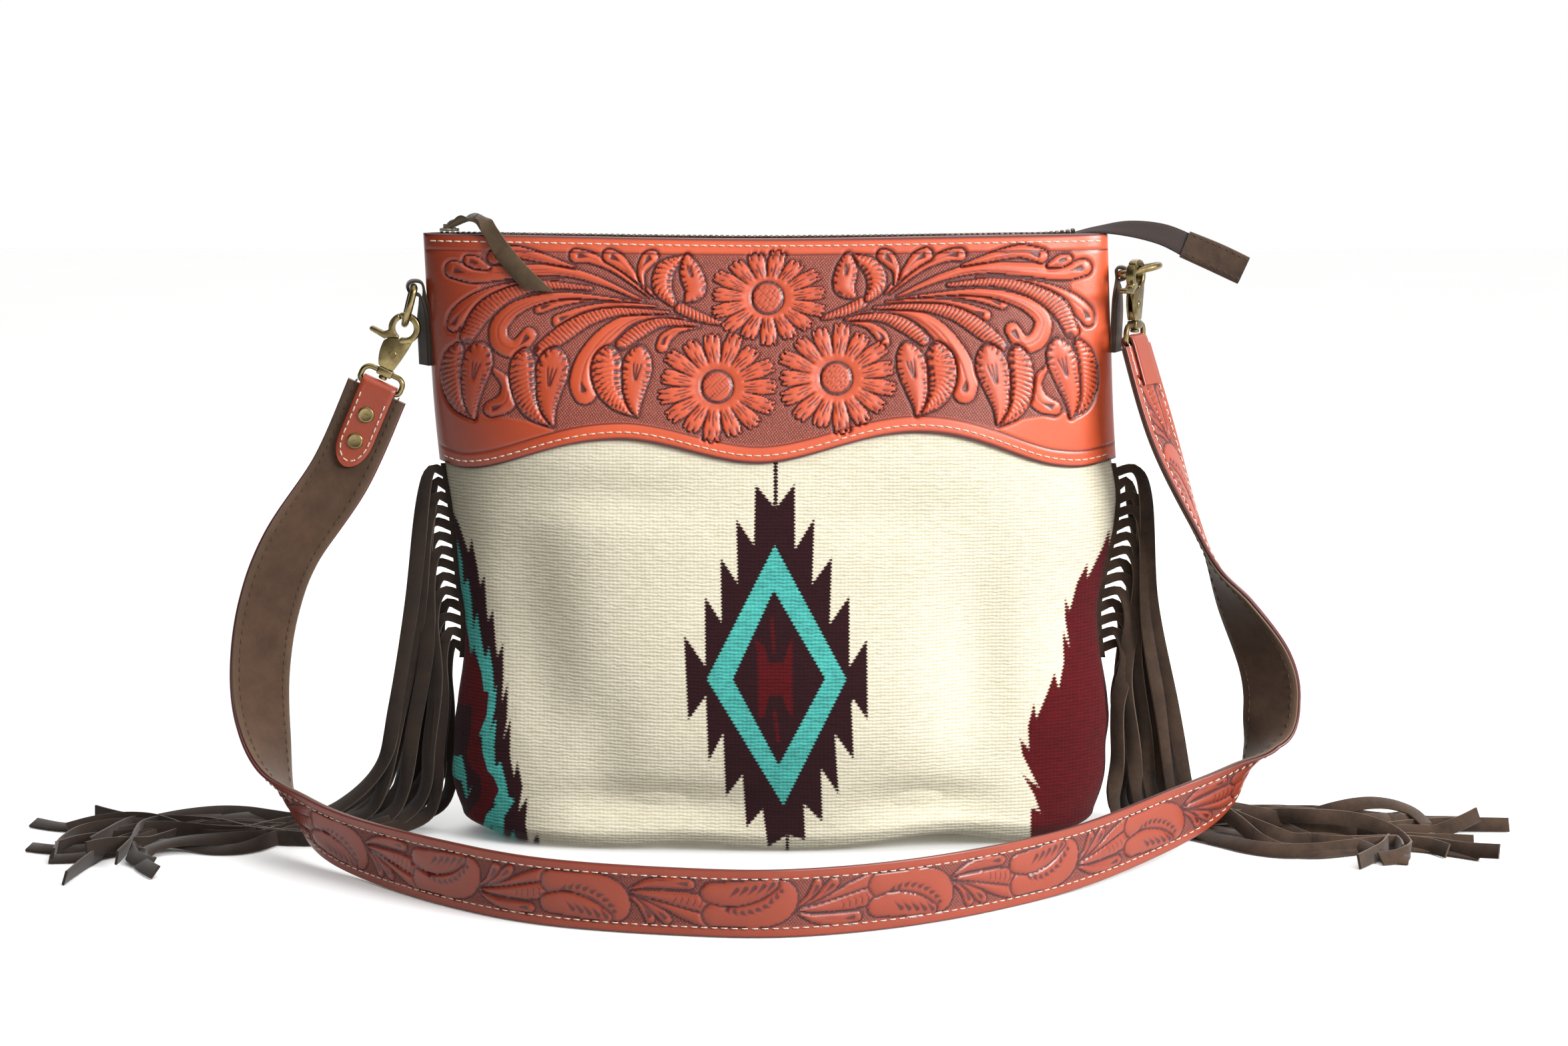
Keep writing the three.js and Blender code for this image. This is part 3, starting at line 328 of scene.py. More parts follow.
@dataclass(frozen=True)
class SpunThread:
    """Waxed cotton thread or tape: matt, with the twist of its plies."""

    name: str
    light: str = "#f0e4d4"
    dark: str = "#c3ad98"
    ply_mm: float = 0.9

    def material(self) -> bpy.types.Material:
        """Makes the material from slanted bands one ply wide."""
        sheet = NodeSheet(bpy.data.materials.new(self.name))
        twist = {"Vector": sheet.place, "Scale": BAND / (self.ply_mm * MM), "Distortion": 1.0}
        plies = sheet.add("ShaderNodeTexWave", twist, "Fac", bands_direction="DIAGONAL")
        cotton = {0: plies, 6: linear(self.dark), 7: linear(self.light)}
        colour = sheet.add("ShaderNodeMix", cotton, 2, data_type="RGBA")
        bump = sheet.add("ShaderNodeBump", {"Height": plies, "Strength": 0.4, "Distance": 0.2 * MM})
        return sheet.surface({"Base Color": colour, "Normal": bump, "Roughness": 0.85})


class Finish(Enum):
    """The finishes of the bag's pieces, each with the record's slot that it belongs to."""

    # the yoke's left side carries painted shade
    YOKE = ("tooled_leather", TooledLeather("tooled_cowhide_yoke", left_shade=0.75))
    STRAP = (
        "tooled_leather",
        TooledLeather("tooled_cowhide_strap", light="#b24e34", dark="#943a25", ground="#9a4f40")
    )
    PLAIN = ("tooled_leather", TooledLeather("plain_cowhide", light="#b04a2c", dark="#86341f"))
    SUEDE = ("suede", Suede("napped_suede"))
    # painted shade darkens the left fringe and the left ring tab
    DARK_SUEDE = (
        "suede", Suede("fringe_suede", light="#4c392b", dark="#2c2019", edge="#5d4a3a", left_shade=0.65)
    )
    BACKING = ("suede", Suede("strap_backing_suede", light="#594333", dark="#473327", edge="#75604d"))
    WOOL = ("wool", BlanketWool("saddle_blanket_wool"))
    BRASS = ("antique_brass", CastBrass("antique_cast_brass"))
    ZIP_METAL = (
        "zip_metal", CastBrass("zip_brass", bright="#8a8171", dull="#3b342c", patch_mm=3.0, rough=0.35)
    )
    TAPE = ("zip_tape", SpunThread("zip_cotton_tape", light="#35251f", dark="#1c1310", ply_mm=1.2))
    THREAD = ("tooled_leather", SpunThread("waxed_stitching", light="#efe2d2"))
    DARK_THREAD = ("suede", SpunThread("brown_stitching", light="#57432f", dark="#35281c"))


class Wardrobe:
    """Keeps one material for each finish."""

    made: dict[Finish, bpy.types.Material] = {}

    @classmethod
    def material(cls, finish: Finish) -> bpy.types.Material:
        """Gives a finish's material, made when it is first asked for."""
        if finish not in cls.made:
            cls.made[finish] = finish.value[1].material()
        return cls.made[finish]


def scatter(index: float, channel: float) -> float:
    """Gives a repeatable number from 0 to 1 for a place in a row and one of its channels."""
    value = math.sin(12.9898 * index + 78.233 * channel) * 43758.5453
    return value - math.floor(value)


def smooth(values: Array, low: float, high: float) -> Array:
    """Eases from 0 where the values are low to 1 where they are high."""
    share = np.clip((values - low) / (high - low), 0.0, 1.0)
    return share * share * (3 - 2 * share)


def unit(vectors: Array) -> Array:
    """Scales each vector to a length of one."""
    return vectors / np.maximum(np.linalg.norm(vectors, axis=-1, keepdims=True), 1e-9)


def clear_selection() -> None:
    """Leaves edit mode and deselects everything."""
    if bpy.context.object is not None and bpy.context.object.mode != "OBJECT":
        bpy.ops.object.mode_set(mode="OBJECT")
    bpy.ops.object.select_all(action="DESELECT")


def choose(piece: Piece) -> None:
    """Selects one piece alone and makes it the active one."""
    clear_selection()
    piece.select_set(True)
    bpy.context.view_layer.objects.active = piece


def entitle(piece: Piece, name: str) -> Piece:
    """Names a piece and its mesh."""
    piece.name = name
    piece.data.name = name
    return piece


def run_along(line: Array) -> Array:
    """Gives the length along a line of points up to each of them."""
    return np.concatenate([[0.0], np.cumsum(np.linalg.norm(np.diff(line, axis=0), axis=1))])


def read_along(at: Array, length: Array, rows: Array) -> Array:
    """Reads rows that lie along a line at lengths along it."""
    return np.stack([np.interp(at, length, column) for column in rows.T], axis=-1)


def seen_at(points: Array, y: Array, depth: Array | float) -> tuple[Array, Array]:
    """Gives the x and z of points seen at y when lines of sight carry them to another depth."""
    toward = (depth - EYE[1]) / (y - EYE[1])
    return EYE[0] + (points[:, 0] - EYE[0]) * toward, EYE[2] + (points[:, 2] - EYE[2]) * toward


def points_of(piece: Piece) -> Array:
    """Gives a mesh's points in metres."""
    flat = np.empty(len(piece.data.vertices) * 3)
    piece.data.vertices.foreach_get("co", flat)
    return flat.reshape(-1, 3)


def add_grid(name: str, columns: int, rows: int) -> tuple[Piece, Array, Array]:
    """Adds a grid to be shaped.

    Args:
        name: the piece's name.
        columns: how many cells it has along.
        rows: how many cells it has across.

    Returns:
        The piece, and the column and the row of each of its points.
    """
    clear_selection()
    bpy.ops.mesh.primitive_grid_add(x_subdivisions=columns, y_subdivisions=rows, size=2.0)
    piece = entitle(bpy.context.object, name)
    place = np.rint((points_of(piece) + 1) / 2 * (columns, rows, 0)).astype(int)
    return piece, place[:, 0], place[:, 1]


def place_points(piece: Piece, points: Array) -> None:
    """Puts a mesh's points where they belong, in millimetres."""
    piece.data.vertices.foreach_set("co", (points * MM).ravel())
    piece.data.update()


def paint(piece: Piece, name: str, values: Array) -> None:
    """Writes a number on each point for the material to read."""
    layer = piece.data.attributes.new(name, "FLOAT", "POINT")
    layer.data.foreach_set("value", np.ascontiguousarray(values, dtype=np.float32))


def weld(piece: Piece, holes: bool = True) -> None:
    """Merges a piece's meeting points, closes its ends and turns its faces outwards.

    Args:
        piece: the piece.
        holes: whether open ends are filled.
    """
    choose(piece)
    bpy.ops.object.mode_set(mode="EDIT")
    bpy.ops.mesh.select_all(action="SELECT")
    bpy.ops.mesh.remove_doubles(threshold=2e-6)
    if holes:
        bpy.ops.mesh.select_all(action="DESELECT")
        bpy.ops.mesh.select_non_manifold(
            use_wire=False, use_multi_face=False, use_non_contiguous=False, use_verts=False
        )
        bpy.ops.mesh.fill_holes(sides=0)
        bpy.ops.mesh.select_all(action="SELECT")
    bpy.ops.mesh.normals_make_consistent(inside=False)
    bpy.ops.object.mode_set(mode="OBJECT")


def soften(piece: Piece, degrees: float = 40.0) -> Piece:
    """Shades a piece smooth, with creases where its faces turn more than an angle."""
    choose(piece)
    bpy.ops.object.shade_smooth_by_angle(angle=math.radians(degrees))
    return piece


def bevel(piece: Piece, width: float, segments: int = 2, degrees: float = 35.0) -> None:
    """Rounds a piece's sharp edges.

    Args:
        piece: the piece.
        width: the round's width in millimetres.
        segments: how many faces go round it.
        degrees: the least turn between faces that counts as sharp.
    """
    choose(piece)
    step = piece.modifiers.new("round", "BEVEL")
    step.width = width * MM
    step.segments = segments
    step.limit_method = "ANGLE"
    step.angle_limit = math.radians(degrees)
    bpy.ops.object.modifier_apply(modifier=step.name)


def dress(piece: Piece, finish: "Finish", *nodes: str, body: str = BODY) -> Piece:
    """Gives a piece its finish and its place in the model.

    Args:
        piece: the piece.
        finish: its finish.
        nodes: the model's nodes that it stands for.
        body: the body that it rides on.

    Returns:
        The piece.
    """
    piece.data.materials.clear()
    piece.data.materials.append(Wardrobe.material(finish))
    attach(piece, body)
    if nodes:
        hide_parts(*nodes)
    LOG.info("%s: %d faces, rides on %s", piece.name, len(piece.data.polygons), body)
    return piece


def join(name: str, pieces: Sequence[Piece]) -> Piece:
    """Joins pieces to one.

    Args:
        name: the joined piece's name.
        pieces: the pieces.

    Returns:
        The joined piece.
    """
    clear_selection()
    for piece in pieces:
        piece.select_set(True)
    bpy.context.view_layer.objects.active = pieces[0]
    bpy.ops.object.join()
    return entitle(pieces[0], name)


def many_lofts(name: str, sections: Sequence[Array], edges: Sequence[int] = ()) -> Piece:
    """Makes a mesh of many small closed lofts, such as stitches or strips.

    Args:
        name: the piece's name.
        sections: for each loft, its rings of points, as rings by points by 3, in millimetres.
        edges: the places in a ring that lie on a cut edge.

    Returns:
        The piece.
    """
    points: list[Array] = []
    faces: list[tuple[int, ...]] = []
    start = 0
    for rings in sections:
        count, sides = rings.shape[:2]
        points.append(rings.reshape(-1, 3))
        for i in range(count - 1):
            low = start + i * sides
            for j in range(sides):
                k = (j + 1) % sides
                faces.append((low + j, low + k, low + sides + k, low + sides + j))
        faces.append(tuple(start + j for j in reversed(range(sides))))
        last = start + (count - 1) * sides
        faces.append(tuple(last + j for j in range(sides)))
        start += count * sides
    mesh = bpy.data.meshes.new(name)
    mesh.from_pydata((np.concatenate(points) * MM).tolist(), [], faces)
    mesh.update()
    piece = bpy.data.objects.new(name, mesh)
    bpy.context.scene.collection.objects.link(piece)
    if edges:
        cut = [
            np.isin(np.arange(rings.shape[1]), edges) for rings in sections for _ in range(rings.shape[0])
        ]
        paint(piece, "cut_edge", np.concatenate(cut).astype(float))
    weld(piece, holes=False)
    return piece


def stitch_rings(starts: Array, ends: Array, outward: Array, wide: float = 0.42) -> list[Array]:
    """Lays a stitch of thread between each pair of holes, sunk at its ends.

    Args:
        starts: the first holes.
        ends: the second holes.
        outward: the surface's outward direction at each stitch.
        wide: half the thread's width.

    Returns:
        The stitches' rings for many_lofts.
    """
    angles = np.linspace(0, 2 * math.pi, 6, endpoint=False)
    stitches: list[Array] = []
    for start, end, out in zip(starts, ends, outward):
        along = unit(end - start)
        side = unit(np.cross(out, along))
        rings = []
        for share, rise, size in (
            (0.0, -0.35, 0.55), (0.14, 0.1, 1.0), (0.5, 0.22, 1.0), (0.86, 0.1, 1.0), (1.0, -0.35, 0.55)
        ):
            middle = start + (end - start) * share + out * rise
            turn = np.cos(angles)[:, None] * side + np.sin(angles)[:, None] * out
            rings.append(middle + turn * wide * size)
        stitches.append(np.array(rings))
    return stitches


@dataclass
class BagForm:
    """The bag's standing shape: widths and depths by height, with dents and a lifted base."""

    heights: tuple[float, ...] = (0, 4, 16, 55, 80, 121, 150, 194, 224, 290, 353)
    left: tuple[float, ...] = (-152, -166, -181, -184.5, -182, -177, -179.5, -183, -187, -191, -193.5)
    right: tuple[float, ...] = (168, 181, 194, 200, 200.5, 194, 195.5, 203, 199.5, 195.5, 192.2)
    depth: tuple[float, ...] = (41, 47, 51, 53, 53, 51, 48, 43, 38, 24, 10.5)
    flat: tuple[float, ...] = (3.4, 3.3, 3.1, 2.9, 2.8, 2.7, 2.8, 3.2, 3.8, 6, 10)
    full: tuple[float, ...] = (0.5, 0.5, 0.52, 0.56, 0.6, 0.66, 0.7, 0.72, 0.7, 0.6, 0.5)
    dents: Rows = (
        (-141, 148, 25, 52, 10), (-128, 92, 22, 40, 6), (121, 104, 24, 58, 10), (-70, 30, 62, 13, 7),
        (20, 80, 80, 55, -5), (92, 28, 40, 15, 8), (-92, 206, 55, 14, 4), (78, 196, 42, 20, 3),
        (-96, 62, 20, 34, 3.6), (158, 48, 20, 26, 3)
    )
    lifts: Rows = ((105, 48, 9), (-48, 34, 4))
    wave_x: tuple[float, ...] = (-193, -166, -85, -3, 88, 166, 205)
    wave_z: tuple[float, ...] = (223, 220, 238.5, 225.5, 242.5, 222, 223.5)
    top: float = 353.0
    sag: float = 2.5

    @staticmethod
    def column(keys: Sequence[float], values: Sequence[float], at: Array) -> Array:
        """Reads a smooth column of a table.

        Args:
            keys: the table's keys, rising.
            values: the column's values.
            at: where to read it.

        Returns:
            The values there.
        """
        key = np.asarray(keys, float)
        value = np.asarray(values, float)
        last = len(key) - 1
        low = np.maximum(np.arange(last + 1) - 1, 0)
        high = np.minimum(np.arange(last + 1) + 1, last)
        slope = (value[high] - value[low]) / (key[high] - key[low])
        clamped = np.clip(at, key[0], key[-1])
        i = np.clip(np.searchsorted(key, clamped, side="right") - 1, 0, last - 1)
        span = key[i + 1] - key[i]
        t = (clamped - key[i]) / span
        ease = t * t * (3 - 2 * t)
        first = value[i] + slope[i] * t * span
        second = value[i + 1] - slope[i + 1] * (1 - t) * span
        return first * (1 - ease) + second * ease

    def point(self, share: Array, z: Array, side: float, inset: float) -> Array:
        """Finds points of the bag's skin.

        Args:
            share: from -1 at the left seam to 1 at the right.
            z: heights.
            side: -1 for the front, 1 for the back.
            inset: how far inside the skin.

        Returns:
            The points.
        """
        left = self.column(self.heights, self.left, z) + inset
        right = self.column(self.heights, self.right, z) - inset
        depth = self.column(self.heights, self.depth, z) - inset
        flat = self.column(self.heights, self.flat, z)
        full = self.column(self.heights, self.full, z)
        x = (left + right) / 2 + (right - left) / 2 * share
        y = side * depth * np.maximum(1 - np.abs(share) ** flat, 0) ** full
        if side < 0:
            for dent_x, dent_z, wide, high, deep in self.dents:
                y = y + (1 - share**4) * deep * np.exp(
                    -(((x - dent_x) / wide) ** 2) - ((z - dent_z) / high) ** 2
                )
        near_front = smooth(-y, 20, 40)
        lifted = z + 0 * x
        for lift_x, wide, rise in self.lifts:
            lifted = lifted + near_front * rise * np.exp(-(((x - lift_x) / wide) ** 2) - (z / 30) ** 2)
        return np.stack([x, y, lifted], axis=-1)

    def yoke_low(self, x: Array) -> Array:
        """Gives the height of the yoke's scalloped edge at each x."""
        return self.column(self.wave_x, self.wave_z, x)

    def yoke_top(self, x: Array) -> Array:
        """Gives the height of the yoke's top edge at each x."""
        return self.top - self.sag * np.cos(math.pi * x / 400) ** 2

    def yoke_point(self, share: Array, rise: Array, side: float, proud: float) -> Array:
        """Finds points on the yoke.

        Args:
            share: from -1 at the left seam to 1 at the right.
            rise: from 0 at the scalloped edge to 1 at the top.
            side: -1 for the front, 1 for the back.
            proud: how far outside the bag's skin.

        Returns:
            The points.
        """
        x_low = self.point(share, np.full_like(share, 223.0), side, -proud)[:, 0]
        low = self.yoke_low(x_low)
        z = low + (self.yoke_top(x_low) - low) * rise
        points = self.point(share, z, side, -proud)
        points[:, 1] += side * 0.2
        return points

    def share_at(self, x: Array, z: Array, proud: float) -> Array:
        """Finds the share across the bag at a place on its front."""
        left = self.column(self.heights, self.left, z) - proud
        right = self.column(self.heights, self.right, z) + proud
        return np.clip((x - (left + right) / 2) / ((right - left) / 2), -1, 1)

    def front(self, x: Array, z: Array, proud: float) -> tuple[Array, Array]:
        """Finds points and outward directions on the front at x and z.

        Args:
            x: places across.
            z: heights.
            proud: how far outside the bag's skin.

        Returns:
            The points and their outward directions.
        """
        spots = []
        for dx, dz in ((0, 0), (0.5, 0), (0, 0.5)):
            share = self.share_at(x + dx, z + dz, proud)
            spots.append(self.point(share, z + dz, -1.0, -proud))
        out = unit(np.cross(spots[1] - spots[0], spots[2] - spots[0]))
        spots[0][:, 1] -= 0.2
        return spots[0], out


@dataclass
class Route:
    """A smooth line with a width direction, for straps, strips and tape."""

    rows: Array

    def at(self, place: Array) -> Array:
        """Reads the route's rows smoothly.

        Args:
            place: places counted in rows.

        Returns:
            The blended rows.
        """
        last = len(self.rows) - 1
        i = np.clip(np.floor(place).astype(int), 0, last - 1)
        t = (place - i)[:, None]
        before = self.rows[np.maximum(i - 1, 0)]
        here = self.rows[i]
        after = self.rows[i + 1]
        beyond = self.rows[np.minimum(i + 2, last)]
        return 0.5 * (
            2 * here + (after - before) * t + (2 * before - 5 * here + 4 * after - beyond) * t**2
            + (3 * here - before - 3 * after + beyond) * t**3
        )

    def frames(self, place: Array) -> tuple[Array, Array, Array, Array, Array]:
        """Finds the line's own directions.

        Args:
            place: places counted in rows.

        Returns:
            Points, directions along, across and normal to the strip, and the rows' last column.
        """
        rows = self.at(place)
        last = len(self.rows) - 1
        ahead = self.at(np.minimum(place + 0.01, last))[:, :3]
        behind = self.at(np.maximum(place - 0.01, 0))[:, :3]
        along = unit(ahead - behind)
        across = rows[:, 3:6] - along * np.sum(rows[:, 3:6] * along, axis=1, keepdims=True)
        across = unit(across)
        return rows[:, :3], along, across, np.cross(along, across), rows[:, -1]

    def even(self, count: int, begin: float = 0.0, end: float | None = None) -> tuple[Array, Array]:
        """Spaces places evenly by length.

        Args:
            count: how many places.
            begin: the first place, in rows.
            end: the last place, in rows, or the route's end.

        Returns:
            The places in rows, and the length from the first to each in millimetres.
        """
        stop = len(self.rows) - 1 if end is None else end
        fine = np.linspace(begin, stop, 4000)
        length = run_along(self.at(fine)[:, :3])
        wanted = np.linspace(0, length[-1], count)
        return np.interp(wanted, length, fine), wanted


class Cut(Enum):
    """The kinds of carved stroke."""

    FROND = "a smooth tapering frond with a vein and a dark eye near its end"
    ROPE = "a twisted rope with slanted ridges"
    LOBE = "half of a leaf with ribs on its outer edge and a row of teeth on its inner one"
    FAN = "half of a leaf with a ribbed edge and a small fan cut in its middle"
    PLAIN = "a smooth raised shape"
    CHEVRON = "a smooth stem with curved chevrons towards its wide end"


@dataclass
class Carving:
    """Relief cut in flat leather: heights in millimetres, with dark stain (antique in the cuts, painted shade
    inside the shapes) and matted ground.
    """

    x: Array
    z: Array
    height: Array = field(init=False)
    stain: Array = field(init=False)
    ground: Array = field(init=False)
    ground_depth: float = 0.7
    bevel_depth: float = 1.15

    def __post_init__(self) -> None:
        """Starts from smooth leather."""
        self.height = np.zeros_like(self.x)
        self.stain = np.zeros_like(self.x)
        self.ground = np.zeros_like(self.x)

    def mat(self, inside: Array) -> None:
        """Presses the ground down where the share inside is one."""
        self.height = self.height - self.ground_depth * inside
        self.ground = np.maximum(self.ground, inside)

    def groove(self, distance: Array, wide: float, deep: float, dark: float) -> None:
        """Cuts a line.

        Args:
            distance: each point's distance from the line.
            wide: the cut's half width.
            deep: its depth.
            dark: how much stain lies in it.
        """
        cut = np.exp(-((distance / wide) ** 2))
        self.height -= deep * cut
        self.stain = np.maximum(self.stain, dark * cut)

    def shape(self, near: Array, signed: Array, height: Array, stain: Array) -> None:
        """Lays a raised shape over what is there, with a bevelled shadow round it.

        Args:
            near: the places in the arrays of the points close to it.
            signed: their distance outside its outline, less than zero inside.
            height: the shape's own height at them.
            stain: the shape's own stain at them.
        """
        inside = signed < 0
        ring = 1 - smooth(np.maximum(signed, 0), 0.0, 2.2)
        old = self.height[near]
        beside = np.minimum(old, old * (1 - ring) - self.bevel_depth * ring)
        self.height[near] = np.where(inside, height, beside)
        self.stain[near] = np.where(inside, stain, np.maximum(self.stain[near], 0.95 * ring))
        self.ground[near] = np.where(inside, 0.0, self.ground[near])

    def stroke(self, cut: Cut, path: Path, hand: float = 1.0) -> None:
        """Carves one stroke.

        Args:
            cut: the kind of stroke.
            path: its middle line as x, z and half width, from its thin end.
            hand: 1, or -1 for a mirrored stroke.
        """
        rows = np.array(path, float)
        line = Route(rows).at(np.linspace(0, len(rows) - 1, 10 * len(rows)))
        reach = line[:, 2].max() + 3.5
        low = line[:, :2].min(axis=0) - reach
        high = line[:, :2].max(axis=0) + reach
        near = np.flatnonzero(
            (self.x > low[0]) & (self.x < high[0]) & (self.z > low[1]) & (self.z < high[1])
        )
        if len(near) == 0:
            return
        start = line[:-1]
        step = line[1:] - start
        size = np.hypot(step[:, 0], step[:, 1])
        off_x = self.x[near][:, None] - start[:, 0]
        off_z = self.z[near][:, None] - start[:, 1]
        share = np.clip((off_x * step[:, 0] + off_z * step[:, 1]) / np.maximum(size**2, 1e-9), 0, 1)
        away_x = off_x - share * step[:, 0]
        away_z = off_z - share * step[:, 1]
        away = np.hypot(away_x, away_z)
        wide = np.maximum(start[:, 2] + share * step[:, 2], 0.3)
        best = np.argmin(away - wide, axis=1)
        pick = (np.arange(len(near)), best)
        total = size.sum()
        along = (np.cumsum(size) - size)[best] + share[pick] * size[best]
        side = hand * np.sign(step[best, 0] * away_z[pick] - step[best, 1] * away_x[pick])
        from_middle = away[pick] / wide[pick]
        height, stain = self.surface(cut, along, along / total, from_middle, side, wide[pick], total)
        self.shape(near, away[pick] - wide[pick], height, stain)

    @staticmethod
    def surface(
        cut: Cut, along: Array, run: Array, middle: Array, side: Array, wide: Array, total: float
    ) -> tuple[Array, Array]:
        """Gives a stroke's own relief.

        Args:
            cut: the kind of stroke.
            along: millimetres along it.
            run: the share along it.
            middle: the share from its middle line to its edge.
            side: which side of its middle line.
            wide: its half width.
            total: its length.

        Returns:
            The heights and the stain.
        """
        crown = 0.65 * (1 - np.minimum(middle, 1) ** 2)
        off = middle * wide
        # darker within 1.6 mm of each shape's outline: partly antique stain by the cut, partly painted shade
        edge = 0.42 * smooth(off - wide, -1.6, 0.0)
        if cut is Cut.FROND:
            stop = total + 0.2 * wide - along
            thin = 0.1 + np.minimum(0.34 * wide, 1.5) * smooth(stop, 9.0, 2.4)
            vein = np.clip(0.5 + (thin - off) / 1.2, 0, 1) * smooth(run, 0.4, 0.55) * smooth(stop, 1.0, 1.9)
            line = np.clip(0.8 - np.abs(side * off - 0.5 * wide) / 1.0, 0, 1) * smooth(wide, 1.8, 2.6)
            line = line * smooth(run, 0.12, 0.3) * (1 - smooth(run, 0.6, 0.78))
            # painted shade: the frond darkens toward its thin end
            soft = 0.24 * (1 - smooth(run, 0.1, 0.7))
            return crown - 0.45 * vein - 0.3 * line, np.maximum(
                np.maximum(edge, soft), np.maximum(vein, 0.8 * line)
            )
        if cut is Cut.ROPE:
            ridge = np.cos(2 * math.pi * (along / 2.3 + 0.45 * side * middle))
            return crown + 0.22 * ridge, np.maximum(edge, 0.75 * smooth(-ridge, -0.2, 0.9))
        if cut is Cut.PLAIN:
            return crown, edge
        if cut is Cut.CHEVRON:
            mark = smooth(np.cos(2 * math.pi * (along / 3.4 + 0.35 * middle)), 0.55, 0.9)
            mark = mark * smooth(run, 0.5, 0.55) * (1 - smooth(run, 0.9, 0.94)) * (
                1 - smooth(middle, 0.5, 0.7)
            )
            return crown - 0.22 * mark, np.maximum(edge, 0.75 * mark)
        inward = side * middle
        if cut is Cut.LOBE:
            ridge = np.cos(2 * math.pi * (along / 2.5 + 0.8 * inward))
            punch = smooth(inward, 0.38, 0.55) * smooth(np.cos(2 * math.pi * along / 3.6), -0.6, 0.3)
            height = 1.3 * crown + 0.24 * ridge * (1 - smooth(inward, 0.2, 0.5)) - 0.6 * punch
            ribs = 0.9 * smooth(-ridge, -0.1, 0.9) * (0.3 + 0.7 * smooth(-inward, -0.1, 0.7))
            return height, np.maximum(np.maximum(edge, ribs), punch)
        ridge = np.cos(2 * math.pi * (along / 2.5 + 0.5 * middle))
        ribs = smooth(middle, 0.45, 0.75)
        height = 1.3 * crown + 0.24 * ridge * ribs
        # the 0.26 term darkens one side of the half leaf as painted shade; the ribs are cut lines
        stain = np.maximum(
            np.maximum(edge, 0.26 * smooth(inward, -0.9, 0.7)), 0.95 * smooth(-ridge, -0.1, 0.9) * ribs
        )
        reach = smooth(run, 0.16, 0.22) * (1 - smooth(run, 0.42, 0.5))
        for ray in (-0.3, 0.0, 0.3):
            spread = inward * wide - ray * wide * (1 - (run - 0.16) / 0.4)
            fan = np.clip(0.9 - np.abs(spread) / 1.1, 0, 1) * reach
            height = height - 0.3 * fan
            stain = np.maximum(stain, fan)
        return height, stain

    def slash(self, start: tuple[float, float], end: tuple[float, float], wide: float) -> None:
        """Cuts a short tapering slash.

        Args:
            start: its thin end.
            end: its deep end.
            wide: its half width at the deep end.
        """
        near = np.flatnonzero(np.hypot(self.x - end[0], self.z - end[1]) < 9)
        step = np.array(end) - np.array(start)
        off = np.stack([self.x[near] - start[0], self.z[near] - start[1]], axis=1)
        share = np.clip(off @ step / float(step @ step), 0, 1)
        gap = np.linalg.norm(off - share[:, None] * step, axis=1)
        cut = np.exp(-((gap / (wide * (0.25 + 0.75 * share))) ** 2)) * (0.35 + 0.65 * share)
        self.height[near] -= 0.4 * cut
        self.stain[near] = np.maximum(self.stain[near], 1.15 * cut)

    def teeth(self, path: Path) -> None:
        """Punches a row of dark scallops along a path, whose widths have no part in it."""
        rows = np.array(path, float)
        line = Route(rows).at(np.linspace(0, len(rows) - 1, 60))[:, :2]
        length = run_along(line)
        for place in np.arange(1.5, length[-1], 4.0):
            spot = read_along(place, length, line)
            ahead = read_along(place + 2.6, length, line)
            away = 1.0 if spot[1] > 0 or rows[0, 1] > 0 else -1.0
            lift = (-(ahead[1] - spot[1]) * 0.9 * away, (ahead[0] - spot[0]) * 0.9 * away)
            self.slash((ahead[0] + lift[0], ahead[1] + lift[1]), (spot[0], spot[1]), 1.25)

    def daisy(
        self, x: float, z: float, wide: float, tall: float, turn: float, petals: int = 15, eye: float = 8.8
    ) -> None:
        """Carves a daisy with notched petals round a cross-hatched middle.

        Args:
            x: its middle.
            z: its middle's height.
            wide: its reach sideways to the petals' tips.
            tall: its reach up and down.
            turn: how far it is turned, in petals.
            petals: how many petals it has.
            eye: its middle's radius.
        """
        near = np.flatnonzero((np.abs(self.x - x) < wide + 4) & (np.abs(self.z - z) < tall + 4))
        off_x = self.x[near] - x
        off_z = self.z[near] - z
        away = np.hypot(off_x, off_z)
        share = np.hypot(off_x / wide, off_z / tall)
        place = np.arctan2(off_z / tall, off_x / wide) / (2 * math.pi) * petals + turn
        across = place - np.floor(place) - 0.5
        lot = np.floor(place) % petals
        step = 2 * math.pi * away / petals
        notch = np.exp(-(((np.abs(across) - 0.15) / 0.05) ** 2))
        rim = 1 + 0.045 * np.sin(2.4 * lot) - 0.11 * (2 * np.abs(across)) ** 3 - 0.07 * notch
        half = 0.46 - 0.15 * smooth(share, 0.7, 1.0)
        outside = np.maximum((share - rim) * away / np.maximum(share, 1e-6), (np.abs(across) - half) * step)
        outside = np.where(share < 0.6, -3.0, outside)
        crown = 0.5 * (1 - (2 * across) ** 2) * smooth(share, 0.3, 0.7)
        gap = np.clip(0.95 - (0.5 - np.abs(across)) * step / 1.3, 0, 1) * smooth(share, 0.42, 0.5)
        height = crown - 0.7 * gap - 0.35 * (1 - smooth(share, 0.28, 0.5))
